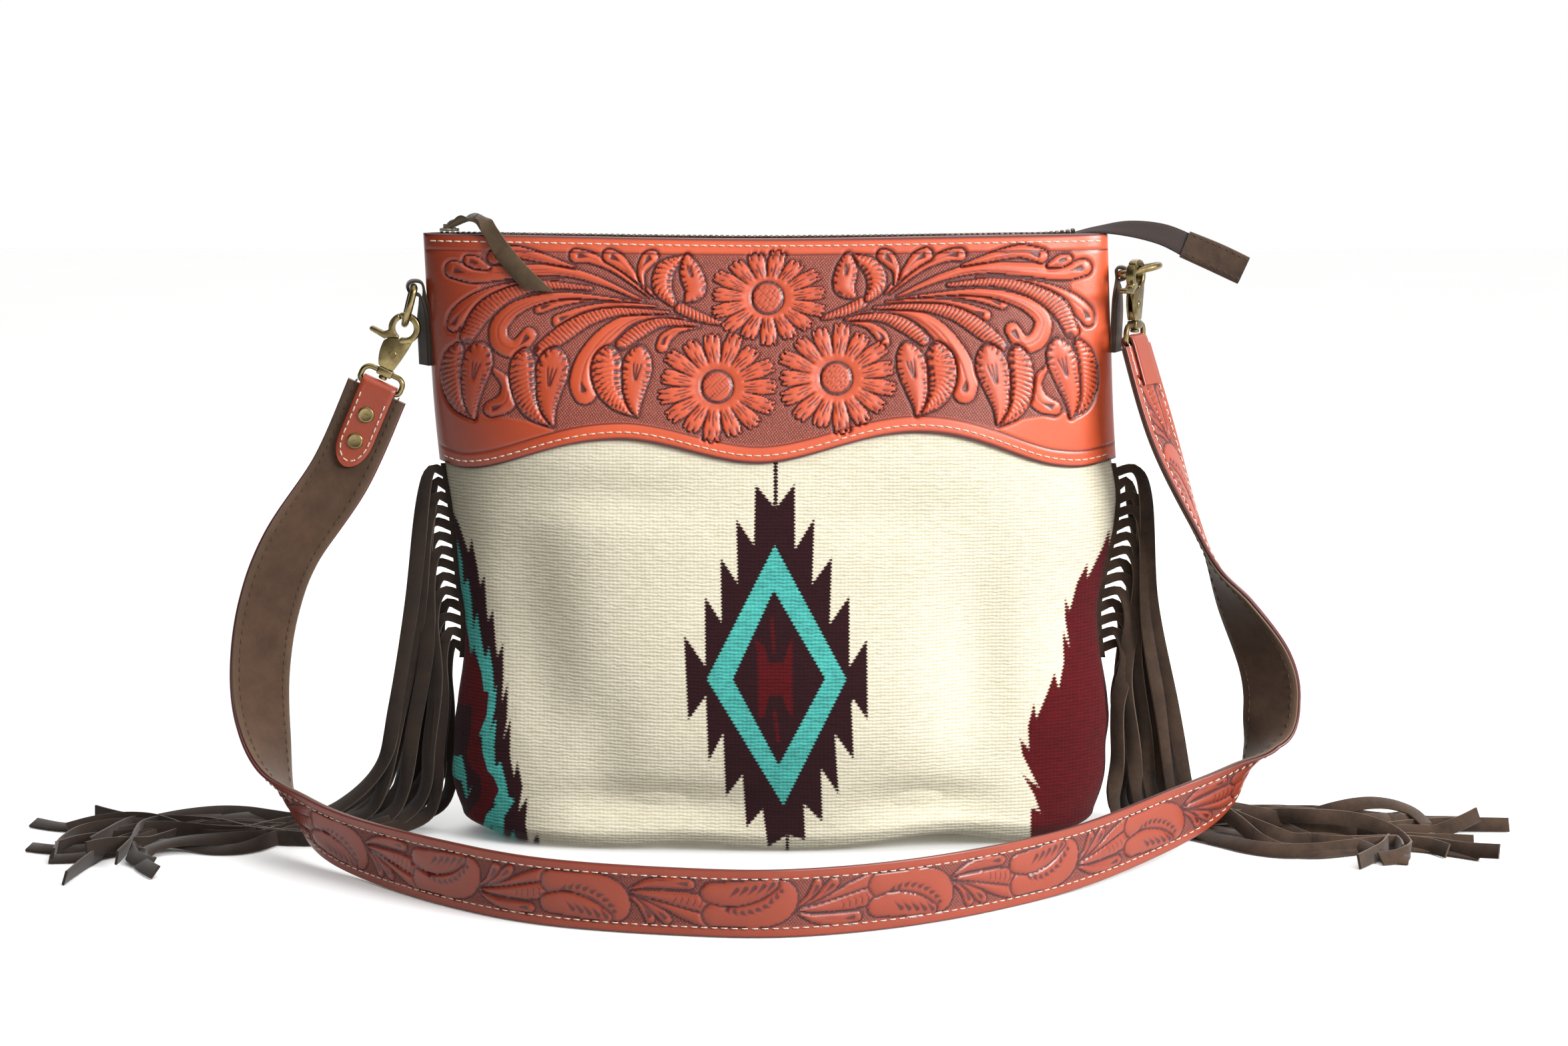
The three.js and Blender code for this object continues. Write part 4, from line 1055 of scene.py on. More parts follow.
        # the 0.28 term is painted shade toward the petals' tips and the middle; the gaps are cut lines
        stain = np.maximum(gap, 0.28 * smooth(np.abs(share - 0.6), 0.1, 0.3))
        strokes = (
            (-0.22, 0.5, 0.7, 0.9), (0.02, 0.44, 0.78, 0.9), (0.22, 0.54, 0.68, 0.9),
            (-0.16, 0.8, 0.97, 1.2), (0.17, 0.82, 0.97, 1.2)
        )
        for line, begin, end, size in strokes:
            bend = line + 0.05 * np.sin(1.7 * lot + 9 * share)
            cut = np.clip(0.85 - np.abs(across - bend) * step / size, 0, 1)
            cut = cut * smooth(share, begin - 0.03, begin + 0.05) * (
                1 - smooth(share, end - 0.05, end + 0.02)
            )
            height = height - 0.3 * cut
            stain = np.maximum(stain, cut)
        disc = away < eye
        hatch = np.minimum(
            np.abs(np.sin(math.pi * (off_x + off_z) / 2.6)), np.abs(np.sin(math.pi * (off_x - off_z) / 2.6))
        )
        dome = 0.3 * (1 - (away / eye) ** 2) + 0.25 * smooth(hatch, 0.0, 0.5)
        height = np.where(disc, dome, height)
        stain = np.where(disc, 0.2 + 0.38 * (1 - smooth(hatch, 0.0, 0.45)), stain)
        ring = np.clip(1.3 - np.abs(away - eye) / 1.1, 0, 1)
        height = height - 0.6 * ring
        stain = np.maximum(stain, ring)
        self.shape(near, outside, height, stain)


def inside_distance(points: Array, outline: Outline) -> Array:
    """Measures how far points are inside an outline.

    Args:
        points: the points, as rows of two.
        outline: the outline's corners in order.

    Returns:
        The distances, less than zero outside.
    """
    corners = np.array(outline, float)
    inside = np.zeros(len(points), bool)
    nearest = np.full(len(points), 1e9)
    for a, b in zip(corners, np.roll(corners, -1, axis=0)):
        step = b - a
        off = points - a
        share = np.clip(off @ step / max(float(step @ step), 1e-9), 0, 1)
        nearest = np.minimum(nearest, np.linalg.norm(off - share[:, None] * step, axis=1))
        crosses = (a[1] > points[:, 1]) != (b[1] > points[:, 1])
        rise = b[1] - a[1] if abs(b[1] - a[1]) > 1e-9 else 1e-9
        inside ^= crosses & (points[:, 0] < a[0] + (points[:, 1] - a[1]) / rise * step[0])
    return np.where(inside, nearest, -nearest)


@dataclass
class StudioSet:
    """A pale floor, soft lights, and the camera at the photograph's viewpoint."""

    eye: tuple[float, float, float] = EYE
    pitch: float = 9.283
    lens: float = 59.94
    floor_size: float = 12000.0

    def build(self) -> None:
        """Makes the camera, the floor and the lights."""
        clear_selection()
        bpy.ops.object.camera_add(
            location=[v * MM for v in self.eye], rotation=(math.radians(90 - self.pitch), 0.0, 0.0)
        )
        camera = bpy.context.object
        camera.data.lens = self.lens
        camera.data.sensor_width = 36.0
        bpy.context.scene.camera = camera
        floor, _, _ = add_grid("studio_floor", 4, 4)
        place_points(floor, points_of(floor) * self.floor_size / 2)
        sheet = NodeSheet(bpy.data.materials.new("pale_studio_floor"))
        mottle = sheet.add("ShaderNodeTexNoise", {"Vector": sheet.place, "Scale": 3.0}, "Fac")
        tones = {0: mottle, 6: linear("#fafaf9"), 7: linear("#fdfdfd")}
        pale = sheet.add("ShaderNodeMix", tones, 2, data_type="RGBA")
        floor.data.materials.append(sheet.surface({"Base Color": pale, "Roughness": 0.9}))
        floor.visible_diffuse = False
        self.light("key_light", (1430, -930, 900), (20, -40, 180), 650, 37.0)
        fill = self.light("fill_light", (-150, -1700, 900), (0, -40, 180), 900, 7.0)
        fill.visible_glossy = False
        gloss = self.light("gloss_light", (600, -1400, 760), (60, -40, 260), 520, 10.0)
        gloss.visible_diffuse = False
        self.light("back_light", (250, 900, 1300), (0, 0, 250), 900, 4.0)
        self.air()
        bpy.context.scene.view_settings.view_transform = "Standard"
        bpy.context.scene.view_settings.look = "None"

    @staticmethod
    def air() -> None:
        """Lights the set from all round: bright behind and overhead, dim at the left, white to the camera."""
        sheet = NodeSheet(bpy.data.worlds.new("studio_air"))
        way = sheet.add("ShaderNodeTexCoord", {}, "Generated")
        x, y, z = (sheet.add("ShaderNodeSeparateXYZ", {"Vector": way}, axis) for axis in "XYZ")
        left = {"Value": x, "From Min": -0.6, "From Max": 0.7, "To Min": 0.02, "To Max": 0.5}
        sides = sheet.add("ShaderNodeMapRange", left)
        behind = sheet.add("ShaderNodeMapRange", {"Value": y, "From Min": 0.3, "From Max": 0.75})
        strength = sheet.add("ShaderNodeMix", {0: behind, 2: sides, 3: 1.0}, data_type="FLOAT")
        above = {"Value": z, "From Min": 0.6, "From Max": 0.95, "To Max": 2.4}
        overhead = sheet.add("ShaderNodeMapRange", above)
        slant = sheet.add(
            "ShaderNodeMapRange", {"Value": x, "From Min": -0.45, "From Max": 0.45, "To Min": 0.35}
        )
        strength = sheet.add(
            "ShaderNodeMath", {0: overhead, 1: slant, 2: strength}, operation="MULTIPLY_ADD"
        )
        seen = sheet.add("ShaderNodeLightPath", {}, "Is Camera Ray")
        strength = sheet.add("ShaderNodeMix", {0: seen, 2: strength, 3: 1.0}, data_type="FLOAT")
        sheet.fill(sheet.tree.nodes["Background"], {"Color": linear("#ffffff"), "Strength": strength})
        bpy.context.scene.world = sheet.owner

    @staticmethod
    def light(name: str, spot: Sequence[float], aim: Sequence[float], size: float, power: float) -> Piece:
        """Adds a soft area light.

        Args:
            name: its name.
            spot: where it hangs.
            aim: the point it faces.
            size: its side.
            power: its power in watts.

        Returns:
            The lamp.
        """
        clear_selection()
        way = Vector(aim) - Vector(spot)
        bpy.ops.object.light_add(
            type="AREA", location=[v * MM for v in spot], rotation=way.to_track_quat("-Z", "Y").to_euler()
        )
        lamp = bpy.context.object
        lamp.name = name
        lamp.data.size = size * MM
        lamp.data.energy = power
        return lamp


@dataclass
class Blanket:
    """The woven wool body: a sagging pouch with a stepped diamond and serrated side bands."""

    form: BagForm
    wall: float = 3.0
    top: float = 258.0
    columns: int = 320
    back_columns: int = 180
    wall_rows: int = 170
    chart_depth: float = -50.0
    medallion: Outline = (
        (5.3, 201.3), (16.0, 215.4), (16.2, 177.9), (27.1, 195.9), (26.0, 158.3), (37.0, 173.4),
        (35.9, 134.9), (46.9, 151.1), (47.2, 110.4), (57.0, 126.1), (57.7, 79.0), (49.8, 90.9), (48.3, 89.4),
        (49.9, 55.7), (38.9, 71.4), (41.4, 35.2), (31.1, 50.8), (32.1, 18.9), (21.2, 30.2), (22.3, 8.5),
        (11.9, 11.5), (0.8, 4.4), (-2.2, 26.9), (-11.5, 16.0), (-13.7, 47.0), (-23.3, 34.2), (-24.7, 71.4),
        (-33.1, 54.6), (-34.5, 93.1), (-44.6, 79.0), (-46.7, 128.6), (-34.6, 110.4), (-34.8, 151.1),
        (-25.4, 135.9), (-25.8, 173.4), (-16.2, 158.3), (-16.8, 195.2), (-6.9, 180.2), (-6.1, 215.0)
    )
    stems: Rows = ((5.3, 228.0, 5.3, 201.0, 1.1), (11.9, 12.0, 11.9, 1.0, 0.9))
    diamond: Outline = ((4.8, 180.2), (45.4, 103.0), (9.7, 29.1), (-33.8, 103.0))
    hollow: Outline = ((4.2, 154.7), (33.4, 103.4), (7.0, 52.3), (-19.2, 103.0))
    spool: Outline = (
        (-7.1, 126.8), (-0.8, 121.6), (1.2, 112.5), (9.8, 112.5), (12.1, 120.9), (14.8, 127.2),
        (14.6, 104.1), (15.0, 79.7), (11.3, 86.4), (9.0, 93.8), (1.5, 93.8), (-1.5, 80.5), (-4.5, 81.2),
        (-4.8, 104.1), (-5.0, 118.1)
    )
    spool_stems: Rows = ((3.0, 138.1, 4.5, 119.0, 0.8), (4.5, 84.0, 6.8, 66.8, 1.0))
    left_brown: Outline = (
        (-185.1, 209.8), (-180.9, 206.8), (-176.8, 200.8), (-172.7, 191.8), (-167.8, 176.0), (-166.0, 184.3),
        (-163.0, 167.8), (-161.6, 157.3), (-159.1, 163.3), (-158.2, 143.8), (-157.5, 136.3), (-154.7, 143.8),
        (-153.4, 122.7), (-152.7, 116.0), (-149.2, 124.2), (-149.5, 103.2), (-150.6, 89.7), (-146.9, 101.7),
        (-147.8, 79.2), (-149.9, 68.7), (-145.8, 80.0), (-146.5, 58.2), (-144.4, 46.2), (-142.3, 55.2),
        (-139.6, 40.2), (-142.3, 25.2), (-136.8, 34.2), (-138.2, 17.7), (-136.1, 4.2), (-131.3, 13.2),
        (-128.5, -1.8), (-128.5, -15.3), (-218.2, -15.3), (-218.2, 209.8)
    )
    left_turquoise: Outline = (
        (-174.0, 182.8), (-171.6, 170.8), (-171.0, 157.3), (-168.5, 161.0), (-166.9, 149.8), (-166.0, 131.8),
        (-163.7, 141.5), (-161.6, 125.8), (-159.6, 113.7), (-157.5, 122.0), (-155.4, 107.7), (-155.0, 94.2),
        (-153.4, 100.2), (-154.5, 86.7), (-157.8, 71.7), (-154.0, 80.0), (-155.4, 64.2), (-155.0, 50.7),
        (-152.0, 55.2), (-149.2, 43.2), (-147.8, 34.2), (-143.7, 32.7), (-150.6, 22.2), (-150.9, 13.2),
        (-149.2, 4.2), (-145.4, 14.7), (-140.9, -1.8), (-140.9, -15.3), (-154.0, -15.3), (-154.0, -1.8),
        (-156.8, 7.2), (-157.5, 17.7), (-162.3, 8.7), (-163.7, 14.7), (-160.9, 23.7), (-154.0, 29.7),
        (-156.8, 31.2), (-153.4, 37.9), (-156.1, 45.4), (-159.6, 49.2), (-162.3, 59.7), (-162.3, 70.2),
        (-164.4, 70.2), (-159.6, 82.2), (-158.2, 95.7), (-160.9, 95.7), (-162.3, 107.7), (-165.8, 122.7),
        (-167.8, 112.2), (-169.2, 125.8), (-170.6, 140.8), (-172.7, 149.8), (-174.0, 164.8), (-175.7, 170.8)
    )
    left_patch: Outline = (
        (-174.0, 58.2), (-172.0, 47.7), (-171.3, 36.4), (-168.5, 40.2), (-172.0, 32.7), (-174.3, 43.2),
        (-182.3, 49.2), (-182.3, 58.2)
    )
    left_red: Outline = (
        (-172.0, 143.8), (-169.9, 131.8), (-167.8, 122.7), (-162.3, 107.7), (-160.9, 95.7), (-158.2, 95.7),
        (-159.6, 82.2), (-164.4, 70.2), (-162.3, 59.7), (-159.6, 49.2), (-156.1, 45.4), (-153.4, 37.9),
        (-156.8, 31.2), (-160.9, 23.7), (-163.7, 14.7), (-162.3, 8.7), (-157.5, 17.7), (-156.8, 7.2),
        (-154.0, -1.8), (-154.0, -15.3), (-176.8, -15.3), (-176.8, 17.7), (-169.2, 25.9), (-163.0, 34.9),
        (-163.7, 46.2), (-168.5, 50.7), (-171.3, 58.2), (-167.8, 77.7), (-167.8, 88.2), (-204.4, 88.2),
        (-204.4, 143.8)
    )
    right_red: Outline = (
        (198.4, 212.1), (197.5, 199.4), (193.6, 180.0), (193.2, 190.1), (189.3, 178.5), (181.3, 161.4),
        (181.3, 170.3), (175.6, 159.1), (171.7, 142.7), (168.8, 150.9), (169.1, 138.2), (172.0, 121.8),
        (167.9, 131.5), (168.8, 112.9), (166.2, 97.2), (163.7, 106.9), (159.7, 95.0), (153.9, 80.1),
        (152.2, 89.0), (149.1, 75.6), (150.0, 61.5), (144.5, 68.9), (146.0, 59.2), (156.1, 39.1),
        (145.5, 48.5), (153.2, 35.4), (157.2, 24.2), (151.5, 28.7), (151.5, 17.5), (151.5, -13.4),
        (246.8, -13.4), (246.8, 212.1)
    )

    def build(self) -> Piece:
        """Makes the body with its woven figures."""
        base_rows = 8
        inner_rows = 5
        rows = base_rows + self.wall_rows + inner_rows + 1
        around = self.columns + self.back_columns
        piece, column, row = add_grid("blanket_pouch", around, rows)
        front = column <= self.columns
        share = np.where(
            front, -1 + 2 * column / self.columns, 1 - 2 * (column - self.columns) / self.back_columns
        )
        points = np.zeros((len(row), 3))
        for side, chosen in ((-1.0, front), (1.0, ~front)):
            points[chosen] = self.spots(share[chosen], row[chosen], side, base_rows, inner_rows)
        place_points(piece, points)
        chart = np.stack(seen_at(points, np.minimum(points[:, 1], 0.0), self.chart_depth), axis=1)
        self.dye(piece, chart, np.where(front, 0.0, -60.0))
        weld(piece, holes=False)
        soften(piece, 75)
        return dress(piece, Finish.WOOL, "blanket_body")

    def spots(self, share: Array, row: Array, side: float, base_rows: int, inner_rows: int) -> Array:
        """Finds the pouch's points on one side, from the middle of the base up and down inside.

        Args:
            share: from the left seam to the right.
            row: the row of each point.
            side: -1 for the front, 1 for the back.
            base_rows: the rows across the base.
            inner_rows: the rows down the inside.

        Returns:
            The points.
        """
        climb = np.clip((row - base_rows) / self.wall_rows, 0, 1)
        z = self.top * climb * (0.25 + 0.75 * np.minimum(climb / 0.12, 1))
        down = np.clip((row - base_rows - self.wall_rows) / (inner_rows + 1), 0, 1)
        inner = row > base_rows + self.wall_rows
        z = np.where(inner, self.top - (self.top - self.wall) * np.minimum(down * 1.2, 1), z)
        points = self.form.point(share, z, side, 0.0)
        within = self.form.point(share * 0.985, z, side, self.wall)
        points = np.where(inner[:, None], within, points)
        cross = np.where(row < base_rows, row / base_rows, np.where(down > 0.99, 0.0, 1.0))
        points[:, 1] *= cross
        return points

    def dye(self, piece: Piece, chart: Array, facing: Array) -> None:
        """Writes how far each point is inside each colour's figures.

        Args:
            piece: the pouch.
            chart: each point as it lies on the flat chart of the front.
            facing: a distance taken off the medallion where a point isn't on the front.
        """

        def lines(table: Sequence[Sequence[float]]) -> Array:
            """Measures how far points are inside straight yarn lines."""
            best = np.full(len(chart), -50.0)
            for x0, z0, x1, z1, wide in table:
                start = np.array([x0, z0])
                step = np.array([x1, z1]) - start
                along = np.clip((chart - start) @ step / float(step @ step), 0, 1)
                gap = np.linalg.norm(chart - start - along[:, None] * step, axis=1)
                best = np.maximum(best, wide - gap)
            return best

        def within(*outlines: Outline) -> Array:
            """Measures how far points are inside any of some outlines."""
            return np.max([inside_distance(chart, outline) for outline in outlines], axis=0)

        medallion = np.maximum(within(self.medallion), lines(self.stems)) + facing
        ring = np.minimum(within(self.diamond), -within(self.hollow)) + facing
        spool = np.maximum(within(self.spool), lines(self.spool_stems)) + facing
        brown = np.maximum(medallion, within(self.left_brown))
        turquoise = np.maximum(ring, within(self.left_turquoise, self.left_patch))
        red = np.minimum(np.maximum(spool, within(self.left_red, self.right_red)), 0.5 - turquoise)
        for name, inside in (("brown", brown), ("turquoise", turquoise), ("red", red)):
            paint(piece, name, np.clip(inside, -8, 8))


@dataclass
class Yoke:
    """The scalloped leather yoke: a floral-carved front, a plain back, and stitched edges."""

    form: BagForm
    proud: float = 2.8
    seat: float = 0.3
    stitch_in: float = 4.2
    stitch_pitch: float = 5.0
    stitch_long: float = 4.2
    border_in: float = 9.2
    columns: int = 560
    rows: int = 168
    daisies: Rows = (
        (0.6, 317.4, 32.5, 25.5, 0.2), (-27.9, 268.1, 33.5, 29.5, 0.5), (39.4, 272.8, 33, 29.5, 0.0)
    )
    fronds: tuple[Path, ...] = (
        (
            (-69.5, 315.7, 0.7), (-95.6, 327.2, 2), (-119, 332.8, 2.9), (-145, 331.9, 3.7),
            (-164.5, 330.6, 4.7), (-177.6, 333.2, 4.5)
        ),
        (
            (-116.4, 327.2, 0.8), (-145, 323.6, 2.1), (-163.2, 316.6, 3.7), (-174.1, 307.6, 4.7),
            (-177.4, 301.9, 3.2)
        ),
        ((-69.5, 314.4, 0.5), (-95.5, 317.2, 1.3), (-115, 315.3, 2.1), (-128.7, 311.5, 2.9)),
        ((-63, 312.7, 0.5), (-87.7, 313.1, 1.6), (-104.6, 309.8, 2.6), (-118.2, 304.8, 3.2)),
        (
            (-46.1, 305.7, 0.7), (-72.1, 307, 2.4), (-89, 298, 4.7), (-100.6, 284, 6), (-104.4, 271.3, 6.8),
            (-102.9, 264.9, 6.6)
        ),
        ((-38.3, 301.6, 0.8), (-50, 299.6, 1.8), (-57.1, 294.9, 3.2), (-59.1, 290.6, 3.4)),
        ((-65.6, 317.8, 0.5), (-85.2, 332.6, 1.6), (-99.5, 339.6, 2.9), (-108, 340.9, 3.7)),
        ((-63, 317.8, 0.5), (-74.8, 329.4, 1.8), (-83.3, 337.7, 3.7), (-89.1, 340.9, 3.7)),
        ((-69.5, 323.6, 0.8), (-70.9, 331.9, 2.1), (-67.6, 338.3, 3.9), (-65, 340.2, 3.7)),
        ((-108.6, 334.5, 0.5), (-126.9, 339.6, 2.4), (-142.5, 342.8, 3.4), (-154.2, 340.2, 3.9)),
        ((-158.1, 334.5, 1.3), (-164.6, 337, 3.2), (-169.1, 338.3, 2.6)),
        ((-154.5, 277.6, 1.1), (-146.6, 269.4, 3.4), (-147.2, 259.8, 5.3), (-155.6, 255.7, 4.2)),
        (
            (-82.5, 316.2, 0.7), (-115, 318.7, 1.8), (-138.4, 313.4, 3.4), (-150.7, 303.2, 4.7),
            (-150.7, 292.9, 5.3), (-142.2, 289.1, 4.7), (-134.4, 296.8, 4.2)
        )
    )
    ropes: tuple[Path, ...] = (
        (
            (-99.5, 322.8, 1.1), (-126.8, 324.4, 2.4), (-146.3, 319.1, 3.7), (-160.5, 309.5, 5),
            (-169.5, 296.1, 3.9)
        ),
        (
            (-55.9, 309.3, 0.8), (-82.5, 309.8, 2.1), (-100.7, 305.7, 3.7), (-116.2, 296.8, 4.7),
            (-127.9, 288.5, 3.4)
        ),
        ((-38.9, 302.5, 0.8), (-58.4, 303.8, 2.4), (-72.1, 298.7, 3.9), (-81.8, 291.7, 3.2)),
        ((-25.9, 303.2, 1.1), (-38.3, 307, 2.6), (-49.4, 312.1, 2.9))
    )
    lobes: tuple[Path, ...] = (
        (
            (-174.2, 290, 2.4), (-177.4, 283, 5.6), (-177.3, 271.3, 6.4), (-173, 259.8, 5.2),
            (-165.3, 251, 0.8)
        ),
        ((-136.5, 286, 3.2), (-138, 279, 7), (-137, 267.5, 7), (-132.5, 256, 5.7), (-121, 246.3, 0.8)),
        ((-88.8, 287.5, 3.4), (-90.1, 280, 8.4), (-89.7, 269.5, 7.6), (-84, 259.8, 5), (-73, 251.8, 0.8)),
        ((-48.1, 339.6, 1.3), (-57.2, 333.2, 5), (-59.1, 323.6, 5.3), (-53.3, 314.9, 2.1))
    )
    fans: tuple[Path, ...] = (
        (
            (-161.8, 289.6, 3.4), (-163.4, 282.5, 8.2), (-166, 270, 6.4), (-167, 259.8, 3.9),
            (-165.3, 250.8, 0.8)
        ),
        (
            (-119.4, 286, 4), (-120.9, 278.6, 9), (-122.8, 267.5, 7.2), (-123.4, 256.5, 4.3),
            (-120.5, 247, 0.8)
        ),
        ((-71.6, 287.4, 3.8), (-73, 279.5, 8.2), (-74.6, 268, 6.6), (-74.6, 258.5, 3.6), (-73, 252, 0.8)),
        ((-44.9, 340.2, 1.8), (-42.9, 331.3, 6), (-40.3, 322.3, 5.8), (-44.8, 316.6, 1.8))
    )

    def mirrored(self, path: Path) -> Path:
        """Gives a stroke of the right half from one of the left half."""
        moved = []
        for x, z, wide in path:
            inward = 0.06 * max(-80 - x, 0.0) * float(np.interp(z, [290, 305], [1, 0]))
            lift = float(np.interp(z, [270, 300, 352], [0.6, 3.2, 0]))
            moved.append((9.2 - 0.12 * (z - 275) - x - inward, z + lift, wide))
        return tuple(moved)

    def carve(self, points: Array) -> Carving:
        """Carves the front.

        Args:
            points: the smooth front's points.

        Returns:
            The carving at those points.
        """
        middle = self.form.point(np.zeros(len(points)), points[:, 2], -1.0, -self.proud)[:, 1]
        x, z = seen_at(points, points[:, 1], middle)
        carving = Carving(x, z)
        height = points[:, 2]
        top = self.form.yoke_top(points[:, 0]) - height
        low = height - self.form.yoke_low(points[:, 0])
        corner = np.interp(
            x, [-184, -165, -121, -116, 123, 129, 172, 192], [264, 251, 246, 0, 0, 247, 252, 266]
        )
        above = np.minimum(low - self.border_in, height - corner)
        inside = smooth(top - self.border_in, 0, 1.2) * smooth(above, 0, 1.2)
        first_x = np.interp(z, [286, 300], [-178, -164])
        last_x = np.interp(z, [286, 300], [183, 171])
        carving.mat(inside * smooth(x - first_x, 0, 3) * (1 - smooth(x - last_x, 0, 3)))
        for cut, paths in (
            (Cut.FROND, self.fronds[:-1]), (Cut.ROPE, self.ropes), (Cut.FROND, self.fronds[-1:]),
            (Cut.LOBE, self.lobes), (Cut.FAN, self.fans)
        ):
            for path in paths:
                carving.stroke(cut, path)
                carving.stroke(cut, self.mirrored(path), -1.0)
        for daisy in self.daisies:
            carving.daisy(*daisy)
        for edge in (top, low):
            carving.groove(edge - self.border_in, 0.75, 0.4, 0.7)
        burnish = np.minimum(top, low)
        carving.height -= 0.9 * np.exp(-np.maximum(burnish, 0) / 0.7)
        carving.stain = np.maximum(carving.stain, 0.95 * (1 - smooth(burnish, 0.0, 2.6)))
        return carving

    def panel(self, name: str, side: float, columns: int, rows: int) -> Piece:
        """Makes one closed panel, carved if it is the front.

        Args:
            name: the panel's name.
            side: -1 for the front, 1 for the back.
            columns: its cells from seam to seam.
            rows: its cells from edge to edge.

        Returns:
            The panel.
        """
        piece, column, row = add_grid(name, columns + 2, rows + 4)
        column = column - 1
        row = row - 2
        share = -1 + 2 * np.clip(column, 0, columns) / columns
        rise = np.clip(row, 0, rows) / rows
        outer = self.form.yoke_point(share, rise, side, self.proud)
        inner = self.form.yoke_point(share, rise, side, self.seat)
        middle = self.form.yoke_point(share, np.full_like(rise, 0.5), side, self.seat)
        step = 0.002
        ways = []
        for aside, above in ((step, 0.0), (0.0, step)):
            ahead = self.form.yoke_point(np.clip(share + aside, -1, 1), rise + above, side, self.proud)
            ways.append(
                ahead - self.form.yoke_point(np.clip(share - aside, -1, 1), rise - above, side, self.proud)
            )
        out = unit(np.cross(*ways)) * -side
        face = (row >= 0) & (row <= rows) & (column >= 0) & (column <= columns)
        stain = np.where(face, 0.0, 0.8)
        ground = np.zeros(len(row))
        if side < 0:
            carving = self.carve(outer)
            fade = smooth(1 - np.abs(share), 0.0, 0.02)
            outer = outer + out * (carving.height * fade)[:, None]
            stain = np.where(face, carving.stain, 0.8)
            ground = np.where(face, carving.ground, 0.0)
        points = np.where(face[:, None], outer, inner)
        hidden = (row < -1) | (row > rows + 1)
        points = np.where(hidden[:, None], middle, points)
        place_points(piece, points)
        paint(piece, "stain", stain)
        paint(piece, "ground", ground)
        weld(piece)
        return soften(piece, 60)

    def stitches(self, name: str, side: float) -> Piece:
        """Sews a row along the top and the scalloped edge of one side."""
        rings: list[Array] = []
        edges = (
            (self.form.yoke_low, self.stitch_in, -187, 198),
            (self.form.yoke_top, -self.stitch_in, -192.5, 191.5)
        )
        for edge, inward, first_x, last_x in edges:
            x = np.linspace(first_x, last_x, 3000)
            z = edge(x) + inward
            spots, out = self.form.front(x, z, self.proud)
            if side > 0:
                share = self.form.share_at(x, z, self.proud)
                spots = self.form.point(share, z, 1.0, -self.proud)
                spots[:, 1] += 0.2
                out = out * np.array([1.0, -1.0, 1.0])
            length = run_along(spots)
            starts = np.arange(1.0, length[-1] - self.stitch_pitch, self.stitch_pitch)
            holes = [read_along(starts + reach, length, spots) for reach in (0.0, self.stitch_long)]
            rings += stitch_rings(*holes, unit(read_along(starts, length, out)))
        return many_lofts(name, rings)

    def build(self) -> None:
        """Makes both panels and their stitching."""
        dress(self.panel("carved_yoke_front", -1.0, self.columns, self.rows), Finish.YOKE, "yoke_front")
        dress(self.panel("plain_yoke_back", 1.0, 240, 40), Finish.PLAIN, "yoke_back")
        for name, side in (("yoke_front_stitches", -1.0), ("yoke_back_stitches", 1.0)):
            dress(soften(self.stitches(name, side), 80), Finish.THREAD)


def strip_sleeve(name: str, route: Route, count: int, section: Callable[[Array], Array]) -> Piece:
    """Makes a closed strip along a route.

    Args:
        name: the piece's name.
        route: the line that it follows.
        count: how many cells it has along.
        section: gives the outline's places across and out at each half width along it.

    Returns:
        The piece.
    """
    sides = section(np.ones(1)).shape[1]
    piece, column, row = add_grid(name, count, sides)
    places, _ = route.even(count + 1)
    corner = row % sides
    point, _, across, normal, half = route.frames(places)
    outline = section(half)
    chosen = outline[column, corner]
    points = point[column] + across[column] * chosen[:, :1] + normal[column] * chosen[:, 1:]
    place_points(piece, points)
    edge = np.abs(chosen[:, 0]) / np.maximum(np.abs(outline[column, :, 0]).max(axis=1), 1e-6)
    paint(piece, "cut_edge", smooth(edge, 0.965, 1.0))
    weld(piece)
    return soften(piece, 50)


def band(
    thick: float, low: float, half: float | None = None, cells: int = 6, round_in: float = 0.35
) -> Callable[[Array], Array]:
    """Gives the outline of a flat band for strip_sleeve.

    Args:
        thick: its thickness.
        low: how far its lower face is along the normal.
        half: half its width, or none for the route's own.
        cells: how many cells each face has.
        round_in: how much its edges are rounded.

    Returns:
        The outline's function.
    """

    def section(own: Array) -> Array:
        """Places the outline's corners across and out."""
        reach = np.full_like(own, half) if half is not None else own
        across = np.linspace(-1, 1, cells + 1)
        rows = []
        for wide in reach:
            inner = across * max(wide - round_in, 0.05)
            face = np.stack([inner, np.full(cells + 1, low + thick)], axis=1)
            right = np.array([[wide, low + thick - round_in], [wide, low + round_in]])
            back = np.stack([inner[::-1], np.full(cells + 1, low)], axis=1)
            left = np.array([[-wide, low + round_in], [-wide, low + thick - round_in]])
            rows.append(np.concatenate([face, right, back, left]))
        return np.array(rows)

    return section


